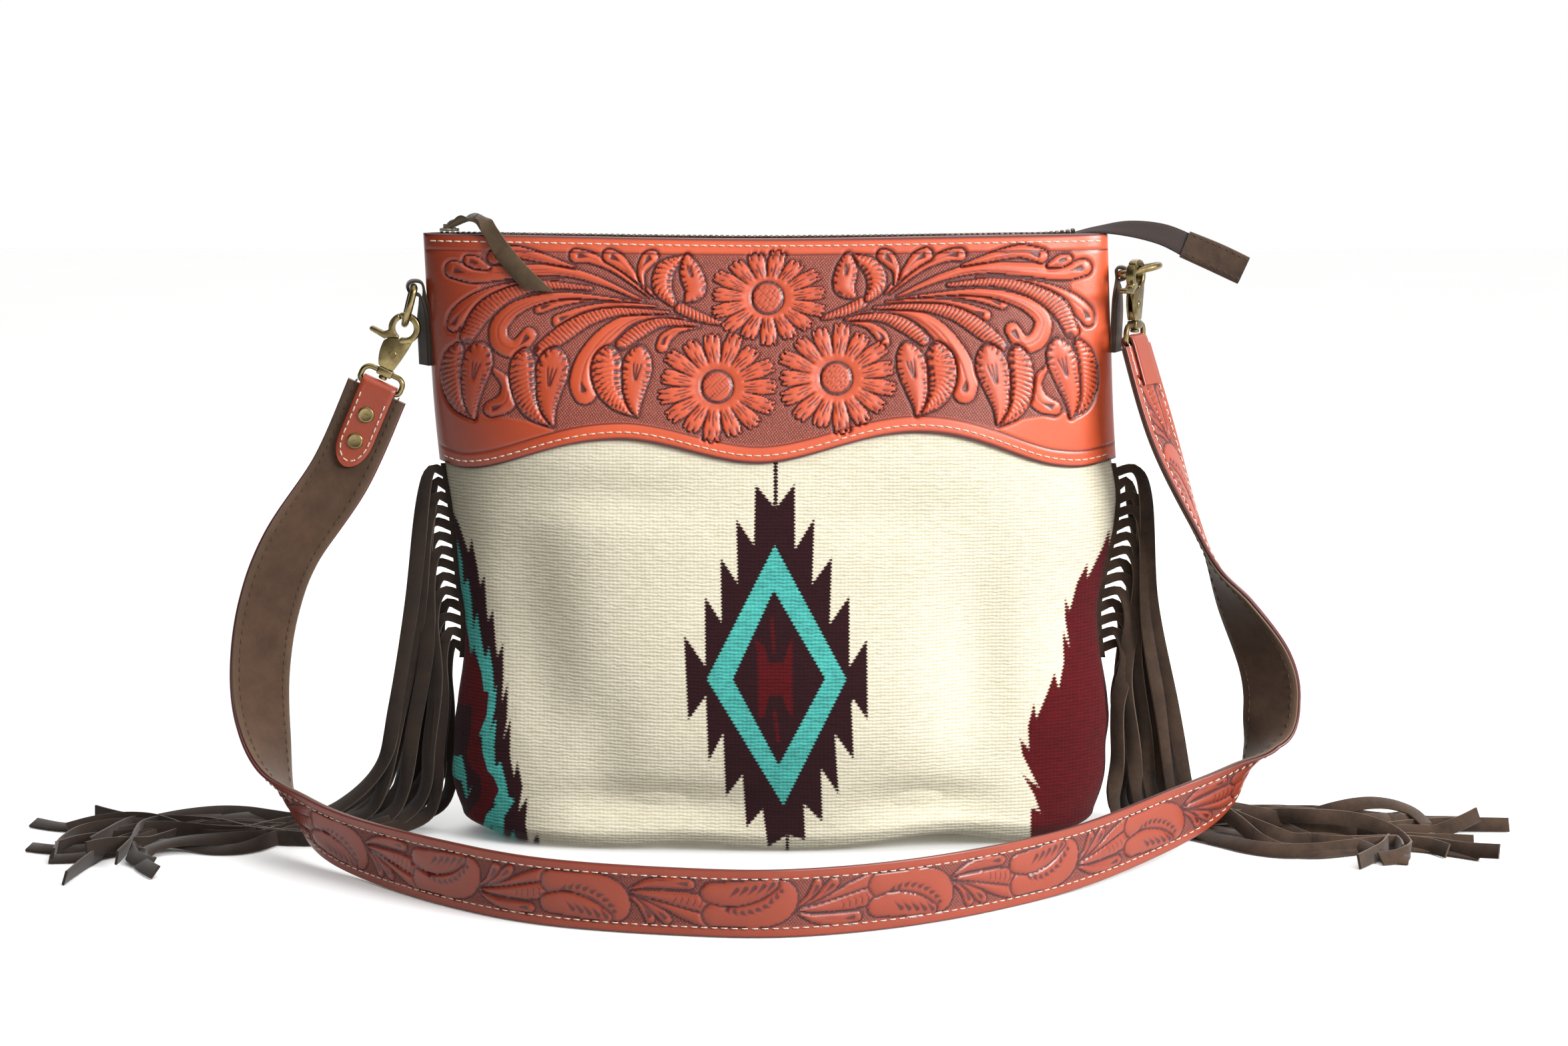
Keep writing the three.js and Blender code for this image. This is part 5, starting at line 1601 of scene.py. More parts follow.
@dataclass
class Zip:
    """The zip along the top: tape with a loose tail, teeth, slider, suede thong and end tab."""

    form: BagForm
    tape_thick: float = 1.4
    tooth_pitch: float = 3.1
    chain_end: float = 6.2
    slider_row: float = 0.3
    rows: Rows = (
        (-186, 0, 350.6, 0, 1, 0, 4.5), (-160, 0, 350.3, 0, 1, 0, 7), (-100, 0, 349.4, 0, 1, 0, 9.6),
        (0, 0, 348.4, 0, 1, 0, 9.6), (100, 0, 349.4, 0, 1, 0, 9.6), (150, 0, 350, 0, 1, 0, 8),
        (172, 0, 351.6, 0, 1, 0.05, 5.5), (188, 0, 354.6, 0, 0.95, 0.2, 5.5),
        (207, -1, 355.4, 0.1, 0.75, 0.6, 6.5), (226, -3, 352.2, 0.25, 0.55, 0.8, 7),
        (241, -5, 345.6, 0.4, 0.45, 0.8, 7.5)
    )
    pull_rows: Rows = (
        (-183, 1.5, 355, 0.3, 0.95, 0, 2.4), (-178, -0.5, 357.6, 0.3, 0.95, 0, 3.2),
        (-170, -4, 360.6, 0.3, 0.95, 0, 4.2), (-161.5, -11, 360.4, 0.6, 0.75, 0.2, 4.7)
    )
    pull_on_yoke: Path = (
        (-156, 354, 4.4), (-150, 344.5, 5), (-141, 333.5, 5.3), (-133, 325.5, 5.3), (-128.5, 321.5, 5.1)
    )
    tail_rows: Rows = (
        (238.6, -4.6, 346.8, 0.4, 0.43, 0.81, 8.2), (256, -6.8, 339.4, 0.4, 0.3, 0.86, 8.4),
        (272, -8.2, 331.9, 0.4, 0.2, 0.89, 8.2)
    )

    def teeth(self, route: Route) -> Piece:
        """Makes the meshed teeth, each a small rounded block on the tape."""
        _, length = route.even(2, 0.0, self.chain_end)
        count = int(length[-1] / self.tooth_pitch)
        places, _ = route.even(count, 0.02, self.chain_end)
        point, along, across, normal, _ = route.frames(places)
        lift = self.tape_thick / 2 + 0.3
        rings = []
        for i in range(count):
            lean = 0.45 if i % 2 else -0.45
            blocks = []
            for rise, wide, long in ((0.0, 2.2, 0.95), (1.5, 2.5, 1.15), (2.2, 2.0, 0.85)):
                ring = []
                for a, b in (
                    (-1, -0.7), (-0.8, -1), (0.8, -1), (1, -0.7), (1, 0.7), (0.8, 1), (-0.8, 1), (-1, 0.7)
                ):
                    spot = point[i] + across[i] * (a * wide + lean) + along[i] * b * long
                    ring.append(spot + normal[i] * (lift + rise))
                blocks.append(ring)
            rings.append(np.array(blocks))
        return many_lofts("zip_teeth", rings)

    def slider(self, route: Route) -> Piece:
        """Makes the slider: a waisted body with a crown and a bridge for the thong."""
        point, along, across, normal, _ = route.frames(np.array([self.slider_row]))
        base = np.stack([across[0], along[0], -normal[0]], axis=1)
        parts = []
        for low, high, wide, nose in ((3.6, 5.1, 4.3, 2.6), (1.3, 2.4, 4.4, 2.9)):
            outline = [
                (-wide, -5.2), (-nose, 4.2), (-1.6, 5.4), (1.6, 5.4), (nose, 4.2), (wide, -5.2), (2.4, -5.4),
                (-2.4, -5.4)
            ]
            parts.append(add_plate("zip_slider_plate", outline, -high, -low, base, point[0], 0.35))
        bridge = [(-0.9, -3.6), (-0.9, 3.6), (0.9, 3.6), (0.9, -3.6)]
        parts.append(add_plate("zip_slider_bridge", bridge, -7.4, -4.9, base, point[0], 0.3))
        return join("zip_slider_body", parts)

    def thong(self) -> Piece:
        """Makes the suede thong: twisted where it leaves the slider, then flat with a slanted end."""
        rows = [list(row) for row in self.pull_rows]
        for x, z, half in self.pull_on_yoke:
            spot, _ = self.form.front(np.array([float(x)]), np.array([float(z)]), 2.8)
            rows.append([x, spot[0, 1] - 1.9, z, 0.72, 0.15, 0.68, half])
        route = Route(np.array(rows, float))
        places, length = route.even(110)
        point, along, across, normal, half = route.frames(places)
        share = length / length[-1]
        twist = 1 - smooth(share, 0.34, 0.46)
        corner = np.array(
            [
                (-1, -0.5), (-0.95, -0.8), (0.95, -0.8), (1, -0.5), (1, 0.5), (0.95, 0.8), (0, 0.8),
                (-0.95, 0.8), (-1, 0.5)
            ]
        )
        rings = []
        for i in range(len(share)):
            wave = np.sin(26 * share[i] + 2.5 * corner[:, 0]) + 1
            lift = corner[:, 1] + 1.6 * (0.8 * twist[i] * wave * (corner[:, 1] > 0.6))
            slant = 6.5 * smooth(share[i], 0.9, 1.0) * corner[:, 0]
            flat = point[i] + across[i] * (corner[:, :1] * half[i]) + along[i] * slant[:, None]
            rings.append(flat + normal[i] * lift[:, None])
        piece = many_lofts("zip_thong", [np.array(rings)], (0, 3, 4, 8))
        return soften(piece, 50)

    def build(self) -> None:
        """Makes the zip's pieces."""
        route = Route(np.array(self.rows, float))
        dress(
            strip_sleeve("zip_tape_band", route, 200, band(self.tape_thick, -self.tape_thick / 2, None, 4)),
            Finish.TAPE, "zip_tape"
        )
        dress(soften(self.teeth(route)), Finish.ZIP_METAL, "zip_chain")
        dress(soften(self.slider(route)), Finish.ZIP_METAL, "zip_slider")
        dress(self.thong(), Finish.SUEDE, "zip_pull")
        tail = Route(np.array(self.tail_rows, float))
        dress(
            strip_sleeve("zip_tail_end", tail, 30, band(4.0, -2.0, None, 10, 0.8)), Finish.DARK_SUEDE,
            "zip_tail_tab"
        )
        places, _ = tail.even(9, 0.25, 1.85)
        point, along, across, normal, half = tail.frames(places)
        rings: list[Array] = []
        for face in (-1.0, 1.0):
            for edge in (-1.0, 1.0):
                spots = point + across * ((half - 2.2) * edge)[:, None] + normal * (2.0 * face)
                rings += stitch_rings(spots - along * 1.0, spots + along * 1.0, normal * face, 0.3)
        dress(many_lofts("zip_tail_stitches", rings), Finish.DARK_THREAD)


def add_plate(
    name: str, outline: Outline, low: float, high: float, base: Array, origin: Array, round_mm: float,
    segments: int = 2
) -> Piece:
    """Makes a plate from an outline, with rounded edges.

    Args:
        name: the piece's name.
        outline: its corners in its own plane.
        low: its lower face.
        high: its upper face.
        base: its own three directions, as columns.
        origin: where its plane's origin is.
        round_mm: how much its edges are rounded.
        segments: the faces round an edge.

    Returns:
        The plate.
    """
    clear_selection()
    bpy.ops.mesh.primitive_circle_add(vertices=len(outline), radius=MM, fill_type="NGON")
    piece = entitle(bpy.context.object, name)
    place_points(piece, np.array([(x, y, low) for x, y in outline], float))
    bpy.ops.object.mode_set(mode="EDIT")
    bpy.ops.mesh.select_all(action="SELECT")
    bpy.ops.mesh.extrude_region_move(TRANSFORM_OT_translate={"value": (0.0, 0.0, (high - low) * MM)})
    bpy.ops.mesh.select_all(action="SELECT")
    bpy.ops.mesh.normals_make_consistent(inside=False)
    bpy.ops.object.mode_set(mode="OBJECT")
    bevel(piece, round_mm, segments, 30)
    lay(piece, base, origin)
    return piece


def lay(piece: Piece, base: Array, origin: Array) -> None:
    """Turns a piece's mesh from its own directions to the model's, in millimetres.

    Args:
        piece: the piece.
        base: its three directions, as columns.
        origin: where its origin goes.
    """
    place_points(piece, origin + points_of(piece) / MM @ base.T)
    weld(piece, holes=False)


def add_turned(name: str, profile: Outline, base: Array, origin: Array, sides: int = 24) -> Piece:
    """Makes a round piece by raising a disc step by step.

    Args:
        name: the piece's name.
        profile: its radius and height at each step, from the bottom.
        base: its own three directions, as columns, the third along its axis.
        origin: where its axis starts.
        sides: its faces round.

    Returns:
        The piece.
    """
    clear_selection()
    first, rise = profile[0]
    bpy.ops.mesh.primitive_circle_add(
        vertices=sides, radius=first * MM, fill_type="NGON", location=(0.0, 0.0, rise * MM)
    )
    piece = entitle(bpy.context.object, name)
    bpy.ops.object.transform_apply(location=True, rotation=True, scale=True)
    bpy.ops.object.mode_set(mode="EDIT")
    bpy.ops.mesh.select_all(action="SELECT")
    for (before, low), (after, high) in zip(profile, profile[1:]):
        bpy.ops.mesh.extrude_region_move(TRANSFORM_OT_translate={"value": (0.0, 0.0, (high - low) * MM)})
        grow = after / before
        bpy.ops.transform.resize(value=(grow, grow, 1.0), center_override=(0.0, 0.0, high * MM))
    bpy.ops.object.mode_set(mode="OBJECT")
    lay(piece, base, origin)
    return piece


def wire_loop(name: str, centres: Array, radius: float) -> Piece:
    """Bends a round wire into a closed loop.

    Args:
        name: the piece's name.
        centres: the points along its middle.
        radius: the wire's radius.

    Returns:
        The loop as a mesh.
    """
    curve = bpy.data.curves.new(name, "CURVE")
    curve.dimensions = "3D"
    curve.bevel_depth = radius * MM
    curve.bevel_resolution = 3
    line = curve.splines.new("POLY")
    line.points.add(len(centres) - 1)
    line.points.foreach_set("co", np.concatenate([centres * MM, np.ones((len(centres), 1))], axis=1).ravel())
    line.use_cyclic_u = True
    piece = bpy.data.objects.new(name, curve)
    bpy.context.scene.collection.objects.link(piece)
    choose(piece)
    bpy.ops.object.convert(target="MESH")
    piece = entitle(bpy.context.object, name)
    weld(piece, holes=False)
    return piece


def arc(
    x: float, y: float, radius: float, start: float, end: float, count: int = 12
) -> list[tuple[float, float]]:
    """Gives points on an arc, with its angles in degrees."""
    angles = np.radians(np.linspace(start, end, count + 1))
    return [(x + radius * math.cos(a), y + radius * math.sin(a)) for a in angles]


def curve_to(
    first: tuple[float, float], pull: tuple[float, float], last: tuple[float, float], count: int = 8
) -> list[tuple[float, float]]:
    """Gives points on a curve from first to last that leans to pull."""
    shares = np.linspace(0, 1, count + 1)
    return [
        tuple((1 - t) ** 2 * a + 2 * t * (1 - t) * b + t * t * c for a, b, c in zip(first, pull, last))
        for t in shares
    ]


class Side(Enum):
    """The bag's two ends."""

    LEFT = "left"
    RIGHT = "right"

    @property
    def outward(self) -> float:
        """Gives the way out of the bag at this end, -1 or 1."""
        return -1.0 if self is Side.LEFT else 1.0


@dataclass
class StrapEnd:
    """One end of the bag: suede tab, ring, trigger snap hook and swivel loop."""

    side: Side
    bar: tuple[float, float, float]
    turn: float
    lean: float
    tab_offset: float
    ring_out: float
    ring_up: float
    eye_along: float
    eye_across: float
    axis_way: tuple[float, float, float]
    across_way: tuple[float, float, float]
    down_way: tuple[float, float, float]
    tab_swing: float
    tab_length: float = 45.0
    tab_half: float = 7.0
    ring_wire: float = 2.0
    ring_half: float = 10.4
    ring_corner: float = 3.0
    ring_leg: float = 8.0
    ring_depth: float = 22.0
    eye_rise: float = 28.0
    pivot_rise: float = 11.4
    thick: float = 5.0
    loop_wire: float = 1.6
    loop_half: float = 12.4
    loop_drop: float = 9.5

    def __post_init__(self) -> None:
        """Works out the end's directions and places."""
        turn = math.radians(self.turn)
        lean = math.radians(self.lean)
        up = np.array([0.0, 0.0, 1.0])
        self.bar_at = np.array(self.bar, float)
        self.bar_dir = np.array([-math.sin(turn), math.cos(turn), 0.0])
        out = self.side.outward * np.array([math.cos(turn), math.sin(turn), 0.0])
        self.tab_up = out * math.sin(lean) + up * math.cos(lean)
        self.ring_dir = unit(out * self.ring_out + up * self.ring_up)
        eye = self.bar_at + self.ring_dir * self.eye_along + self.bar_dir * self.eye_across - up * 2.3
        self.axis = unit(np.array(self.axis_way, float))
        self.across = unit(np.array(self.across_way, float))
        self.collar = eye - self.axis * self.eye_rise
        self.loop_bar = self.collar - self.axis * self.loop_drop
        self.down = unit(np.array(self.down_way, float))
        along = self.down if self.side is Side.LEFT else -self.down
        self.normal = np.cross(along, self.across)
        self.strap_top = self.loop_bar + self.down * 2.5 - self.normal * 0.3
        self.hook_base = np.stack([self.across, self.axis, np.cross(self.across, self.axis)], axis=1)

    def name(self, piece: str) -> str:
        """Names a piece of this end."""
        return f"{self.side.value}_{piece}"

    def ring_tab(self) -> Piece:
        """Folds the suede strip round the ring's bar."""
        near = self.tab_offset - 0.8
        far = self.tab_offset + 0.8
        middle = [
            (far, -self.tab_length), (far, -30.0), (far, -14.0), (far, -3.0), (0.5 * far + 1.6, 2.3),
            (0.6, 3.6), (-2.5, 2.6), (-3.6, 0.0), (-2.5, -2.6), (0.4, -3.7), (0.5 * near + 1.2, -5.2),
            (near, -10.0), (near, -20.0), (near, -32.0), (near, -self.tab_length)
        ]
        x_way = np.cross(self.tab_up, self.bar_dir)
        rows = []
        for x, y in middle:
            swing = math.tan(math.radians(self.tab_swing)) * float(smooth(np.array(-y), 4.0, 18.0))
            wide = unit(self.bar_dir + x_way * swing)
            rows.append(
                [*(self.bar_at + x_way * self.side.outward * x + self.tab_up * y), *wide, self.tab_half]
            )
        return strip_sleeve(
            self.name("suede_ring_tab"), Route(np.array(rows)), 110, band(1.5, -0.75, self.tab_half, 6)
        )

    def ring(self) -> Piece:
        """Bends the D-ring."""
        inner = self.ring_half - self.ring_corner
        outline = arc(inner, self.ring_corner, self.ring_corner, -90, 0, 6)
        outline += [
            (self.ring_half * math.cos(a), self.ring_leg + (self.ring_depth - self.ring_leg) * math.sin(a))
            for a in np.linspace(0, math.pi, 25)
        ]
        outline += arc(-inner, self.ring_corner, self.ring_corner, 180, 270, 6)
        spots = np.array([self.bar_at + self.bar_dir * x + self.ring_dir * y for x, y in outline])
        return wire_loop(self.name("d_ring"), spots, self.ring_wire)

    def hook(self) -> Piece:
        """Builds the snap hook: bent hook, forked cheeks, pivot pin and swivel post."""
        half = self.thick / 2
        eye = self.eye_rise
        pivot = self.pivot_rise
        bend = arc(0, eye, 9.1, 48.5, 268, 34) + arc(0, eye, 5.5, 268, 48.5, 30)
        shoulder = arc(0, pivot, 9.7, 35, 100, 10)
        cheek = [(-3.9, 2.6)] + curve_to((5, 2.6), (8.6, 9), shoulder[0])[:-1] + shoulder
        cheek += curve_to((-7.2, 22.6), (-6.6, 13), (-3.9, 2.6))[:-1]
        spine = [(-3.7, 2.8), (4.8, 2.8), (6.4, 7.6)] + arc(0, pivot, 3.1, -30, -245, 12)
        spine += [(-5.3, 22.6)] + curve_to((-7.0, 22.4), (-6.4, 13), (-3.7, 2.8))[:-1]
        parts = [
            add_plate("bend", bend, -half, half, self.hook_base, self.collar, 1.5, 3),
            add_plate("cheek", cheek, 1.2, half - 0.05, self.hook_base, self.collar, 0.45, 2),
            add_plate("cheek", cheek, 0.05 - half, -1.2, self.hook_base, self.collar, 0.45, 2),
            add_plate("spine", spine, -1.5, 1.5, self.hook_base, self.collar, 0.1, 1)
        ]
        pin = [(1.9, half + 0.5), (2.2, half + 0.25), (2.2, -half - 0.25), (1.9, -half - 0.5)]
        flip = self.hook_base * np.array([1.0, -1.0, -1.0])
        axis_up = self.hook_base[:, [2, 0, 1]]
        parts.append(add_turned("pin", [(r, -z) for r, z in pin], flip, self.collar + self.axis * pivot, 20))
        post = [(2.1, -4.4), (2.6, -4.0), (2.6, -3.0), (2.2, -2.6), (1.5, -2.55), (1.5, 3.6)]
        parts.append(add_turned("post", post, axis_up, self.collar, 20))
        return join(self.name("snap_hook"), parts)

    def trigger(self) -> Piece:
        """Builds the sprung gate with its thumb lever and tang."""
        half = self.thick / 2
        eye = self.eye_rise
        pivot = self.pivot_rise
        gate = arc(0, eye, 9.1, 45, -30, 14) + [(10, 21.5), (16.8, 21.6)] + arc(
            16.8, 20.2, 1.4, 90, -90, 8
        )[1:]
        gate += [(9.4, 18.0)] + arc(0, pivot, 10.2, 38.7, 86, 8) + arc(0, eye, 5.5, -75, 45, 16)
        tang = arc(0, pivot, 11.0, 48, 84, 6) + arc(0, pivot, 2.6, 130, 362, 14)
        parts = [
            add_plate("gate", gate, -half, half, self.hook_base, self.collar, 0.8, 2),
            add_plate("tang", tang, -0.9, 0.9, self.hook_base, self.collar, 0.15, 1)
        ]
        return join(self.name("thumb_trigger"), parts)

    def swivel(self) -> Piece:
        """Bends the loop for the strap, with the collar that turns on the post."""
        low = 2.4
        high = 4.7
        wide = self.loop_half
        outline = arc(
            wide - low, low - self.loop_drop, low, -90, 0, 5
        ) + arc(wide - high, -high, high, 0, 90, 8)
        outline += arc(high - wide, -high, high, 90, 180, 8) + arc(
            low - wide, low - self.loop_drop, low, 180, 270, 5
        )
        spots = np.array([self.collar + self.across * x + self.axis * y for x, y in outline])
        box = [(-4.6, -2.3), (4.6, -2.3), (4.6, 2.3), (-4.6, 2.3)]
        parts = [
            wire_loop("loop", spots, self.loop_wire),
            add_plate("collar", box, -3.0, 3.0, self.hook_base, self.collar, 0.9, 3)
        ]
        return join(self.name("swivel"), parts)

    def build(self) -> None:
        """Makes the end's pieces."""
        dress(self.ring_tab(), Finish.DARK_SUEDE, self.name("ring_tab"))
        for piece, node, body in (
            (self.ring(), "ring", BODY), (self.hook(), "hook", BODY),
            (self.trigger(), "trigger", self.name("trigger")), (self.swivel(), "swivel_loop", BODY)
        ):
            dress(soften(piece), Finish.BRASS, self.name(node), body=body)


@dataclass
class Strap:
    """The shoulder strap: carved leather lined with suede, folded and riveted at both ends."""

    left: StrapEnd
    right: StrapEnd
    width: float = 36.0
    leather: float = 2.0
    suede: float = 1.4
    suede_inset: float = 0.7
    straight: float = 52.0
    tab_half: float = 10.5
    tab_thick: float = 2.0
    tab_tip: float = 0.92
    tab_back: float = 0.52
    rivets: tuple[tuple[str, float], ...] = (("upper", 0.35), ("lower", 0.64))
    stitch_out: float = 13.2
    stitch_pitch: float = 5.2
    repeat: float = 87.0
    leaf_spot: tuple[float, float] = (-93.0, -186.0)
    along_cells: int = 1400
    face_cells: int = 44
    middle: Rows = (
        (-274.8, -12, 172.3, -0.85, -0.3, 0.42), (-288, -16.5, 138, -0.88, -0.35, 0.3),
        (-293, -22, 102.3, -0.85, -0.45, 0.3), (-290, -31, 70, -0.72, -0.55, 0.45),
        (-278, -48, 38.5, -0.35, -0.6, 0.72), (-255.8, -74, 25.5, -0.15, -0.25, 0.95),
        (-226, -101, 19.6, -0.1, -0.1, 0.99), (-174, -144.5, 18.6, 0, 0, 1), (-118.6, -178, 18.6, 0, 0, 1),
        (-50, -195.5, 18.6, 0, 0, 1), (15, -199, 18.6, 0, 0, 1), (88, -175, 18.6, 0, 0, 1),
        (161.6, -126, 19, 0, 0, 1), (222.5, -74, 25.5, 0.05, 0, 1), (264, -45, 38, 0.3, -0.2, 0.92),
        (286, -31, 60, 0.6, -0.35, 0.7), (292, -25, 83, 0.7, -0.45, 0.5), (288, -22, 107, 0.68, -0.6, 0.35),
        (271, -19, 139, 0.4, -0.88, 0.2), (257, -18.5, 164, 0, -1, 0), (245.5, -18.2, 190, -0.2, -0.97, 0)
    )
    sheaf: tuple[tuple[Cut, Path], ...] = (
        (Cut.FROND, ((24, 5, 0.5), (34, 9, 2.2), (46, 10, 3), (56, 9.5, 2.6))),
        (Cut.FROND, ((24, 2, 0.5), (30, -2, 1.6), (34, -7, 2.8), (35, -10, 2.4))),
        (Cut.FROND, ((27, 3, 0.5), (35, -2, 1.8), (41, -7, 2.8), (44, -10, 2.4))),
        (Cut.PLAIN, ((26, 4, 0.5), (40, 0, 2.4), (54, -6, 3.4), (66, -10.5, 3.2))),
        (Cut.CHEVRON, ((25, 4, 0.5), (40, 3, 2.6), (54, 1, 4), (66, -1.5, 4.4))),
        (Cut.PLAIN, ((-18, 6.5, 6.2), (-8, 3, 9.5), (4, 1, 11.8), (12, -1, 11.5), (16, -4, 8.5))),
        (Cut.PLAIN, ((-20, -5.5, 5), (-10, -5, 6.4), (2, -7, 5.4), (12, -10.5, 2.6)))
    )
    teeth: Path = ((-13, 2.5, 1), (-4, 4.6, 1), (6, 2, 1), (13, -3, 1), (17, -8, 1))

    def route(self) -> Route:
        """Gives the strap's whole line, from the left loop to the right."""
        rows = []
        for reach in (0.0, self.straight):
            rows.append([*(self.left.strap_top + self.left.down * reach), *self.left.across])
        rows += [list(row) for row in self.middle]
        for reach in (self.straight, 0.0):
            rows.append([*(self.right.strap_top + self.right.down * reach), *self.right.across])
        return Route(np.array(rows, float))

    def carve(self, along: Array, across: Array, start: float) -> Carving:
        """Carves the repeating leaf and sheaf.

        Args:
            along: millimetres along the strap.
            across: millimetres across it.
            start: where one leaf's middle is.

        Returns:
            The carving.
        """
        carving = Carving(along, across, ground_depth=0.35, bevel_depth=0.6)
        edge = self.stitch_out - 0.4
        carving.mat(smooth(edge - np.abs(across), 0, 0.8))
        first = math.floor((along.min() - start) / self.repeat) - 1
        last = math.ceil((along.max() - start) / self.repeat) + 1
        for k in range(first, last + 1):
            flip = 1.0 if k % 2 == 0 else -1.0
            middle = start + k * self.repeat
            for cut, path in self.sheaf:
                carving.stroke(cut, tuple((middle + x, flip * z, wide) for x, z, wide in path))
            carving.teeth(tuple((middle + x, flip * z, wide) for x, z, wide in self.teeth))
            for i in range(5):
                x = middle - 11 + 4.6 * i
                carving.slash((x, flip * (-2.8 - 0.5 * i)), (x + 4.6, flip * (-7.6 - 0.75 * i)), 1.3)
        plain = smooth(np.abs(across), edge, edge + 0.5)
        for layer in (carving.height, carving.stain, carving.ground):
            layer *= 1 - plain
        carving.groove(np.abs(across) - self.stitch_out, 0.6, 0.35, 0.5)
        carving.stain = np.maximum(
            carving.stain, 0.6 * smooth(np.abs(across), self.width / 2 - 1.2, self.width / 2)
        )
        return carving

    def outer(self, route: Route) -> Piece:
        """Makes the carved leather layer."""
        half = self.width / 2
        face = [(t, 2.15) for t in np.linspace(0.4 - half, half - 0.4, self.face_cells + 1)]
        edge = [(half, 1.75), (half, 0.5), (half - 0.4, 0.15)]
        back = [(t, 0.15) for t in np.linspace(half - 6, 6 - half, 4)]
        outline = np.array(face + edge + back + [(-t, n) for t, n in reversed(edge)])
        sides = len(outline)
        piece, column, row = add_grid("carved_strap", self.along_cells, sides)
        corner = row % sides
        places, length = route.even(self.along_cells + 1)
        point, _, across, normal, _ = route.frames(places)
        spot = np.array(self.leaf_spot)
        start = length[np.argmin(np.linalg.norm(point[:, :2] - spot, axis=1))]
        upper = corner <= self.face_cells
        carving = self.carve(length[column], outline[corner, 0], start)
        raised = outline[corner, 1] + np.where(upper, 0.9 * carving.height, 0.0)
        place_points(
            piece, point[column] + across[column] * outline[corner, :1] + normal[column] * raised[:, None]
        )
        paint(piece, "stain", np.where(upper, carving.stain, 0.7))
        paint(piece, "ground", np.where(upper, carving.ground, 0.0))
        weld(piece)
        return soften(piece, 60)

    def stitch(self, route: Route) -> None:
        """Sews both edges of the strap: pale thread on the leather, brown on the suede."""
        _, length = route.even(2)
        count = int(length[-1] / self.stitch_pitch)
        places, _ = route.even(count)
        point, along, across, normal, _ = route.frames(places)
        for name, lift, out, finish in (
            ("strap_stitches", 2.05, 1.0, Finish.THREAD), ("lining_stitches", -1.5, -1.0, Finish.DARK_THREAD)
        ):
            rings: list[Array] = []
            for edge in (-self.stitch_out, self.stitch_out):
                spots = point + across * edge + normal * lift
                rings += stitch_rings(spots - along * 1.8, spots + along * 1.8, normal * out, 0.36)
            dress(soften(many_lofts(name, rings), 80), finish)

    def fold(self, end: StrapEnd, route: Route) -> None:
        """Makes one end's folded leather tab with its stitches and rivets.

        Args:
            end: the bag's end that the tab goes to.
            route: the strap's line.
        """
        last = len(route.rows) - 1
        behind = 0.15 + self.leather + 0.3 + self.tab_thick / 2
        front = -(0.15 + self.suede + 0.3 + self.tab_thick / 2)
        radius = (behind - front) / 2

        def leg(rows: Array, lift: float) -> tuple[Array, Array, Array, Array]:
            """Finds points of a leg at places counted from this end."""
            places = rows if end.side is Side.LEFT else last - rows
            point, along, across, normal, _ = route.frames(places)
            return point + normal * lift, along, across, normal

        rows: list[list[float]] = []
        back, _, wide, _ = leg(np.linspace(self.tab_back, 0.0, 6), behind)
        rows += [[*p, *w, self.tab_half] for p, w in zip(back, wide)]
        for angle in np.linspace(0, math.pi, 11)[1:-1]:
            spot = end.loop_bar + (end.normal * math.cos(angle) - end.down * math.sin(angle)) * radius
            rows.append([*spot, *end.across, self.tab_half])
        turns = np.radians([0, 15, 30, 45, 58, 70, 80, 87])
        shares = np.concatenate([[0.0, 0.2, 0.4, 0.55], 0.68 + 0.32 * np.sin(turns)])
        halves = np.concatenate([np.full(4, self.tab_half), self.tab_half * np.cos(turns)])
        tip, _, wide, _ = leg(self.tab_tip * shares, front)
        rows += [[*p, *w, max(h, 0.6)] for p, w, h in zip(tip, wide, halves)]
        tab = strip_sleeve(
            end.name("strap_end"), Route(np.array(rows)), 150,
            band(self.tab_thick, -self.tab_thick / 2, None, 8, 0.5)
        )
        paint(tab, "stain", 0.7 * np.array([d.value for d in tab.data.attributes["cut_edge"].data]))
        dress(tab, Finish.PLAIN, end.name("strap_tab"))
        outline = [(share, 1.0) for share in np.linspace(0.1, 0.68, 5)]
        outline += [(0.68 + 0.25 * math.sin(a), math.cos(a)) for a in np.linspace(0.3, math.pi - 0.3, 7)]
        outline += [(share, -1.0) for share in np.linspace(0.68, 0.1, 5)]
        spots, _, wide, normal = leg(
            self.tab_tip * np.array([s for s, _ in outline]), front - self.tab_thick / 2
        )
        seam = spots + wide * (np.array([t for _, t in outline]) * (self.tab_half - 2.6))[:, None]
        fine = Route(seam).at(np.linspace(0, len(seam) - 1, 400))
        length = run_along(fine)
        begins = np.arange(0.5, length[-1] - 4, 4.6)
        holes = [read_along(begins + reach, length, fine) for reach in (0.0, 3.4)]
        rings = stitch_rings(*holes, np.tile(-normal[0], (len(begins), 1)))
        dress(many_lofts(end.name("strap_end_stitches"), rings), Finish.THREAD)
        for level, place in self.rivets:
            seat, _, wide, normal = leg(np.array([place]), front - self.tab_thick / 2 - 0.1)
            base = np.stack([wide[0], np.cross(-normal[0], wide[0]), -normal[0]], axis=1)
            profile = [(4.5, 0.0), (4.7, 0.3), (4.6, 0.9), (4.2, 1.25), (3.6, 1.3), (3.2, 1.15), (0.5, 1.3)]
            cap = add_turned(end.name(f"rivet_cap_{level}"), profile, base, seat[0], 28)
            dress(soften(cap, 50), Finish.BRASS, end.name(f"rivet_{level}"))

    def build(self) -> None:
        """Makes the strap's pieces."""
        route = self.route()
        dress(self.outer(route), Finish.STRAP, "strap_leather")
        lining = band(self.suede, -0.15 - self.suede, self.width / 2 - self.suede_inset, 8)
        dress(strip_sleeve("strap_lining", route, 500, lining), Finish.BACKING, "strap_suede")
        self.stitch(route)
        for end in (self.left, self.right):
            self.fold(end, route)


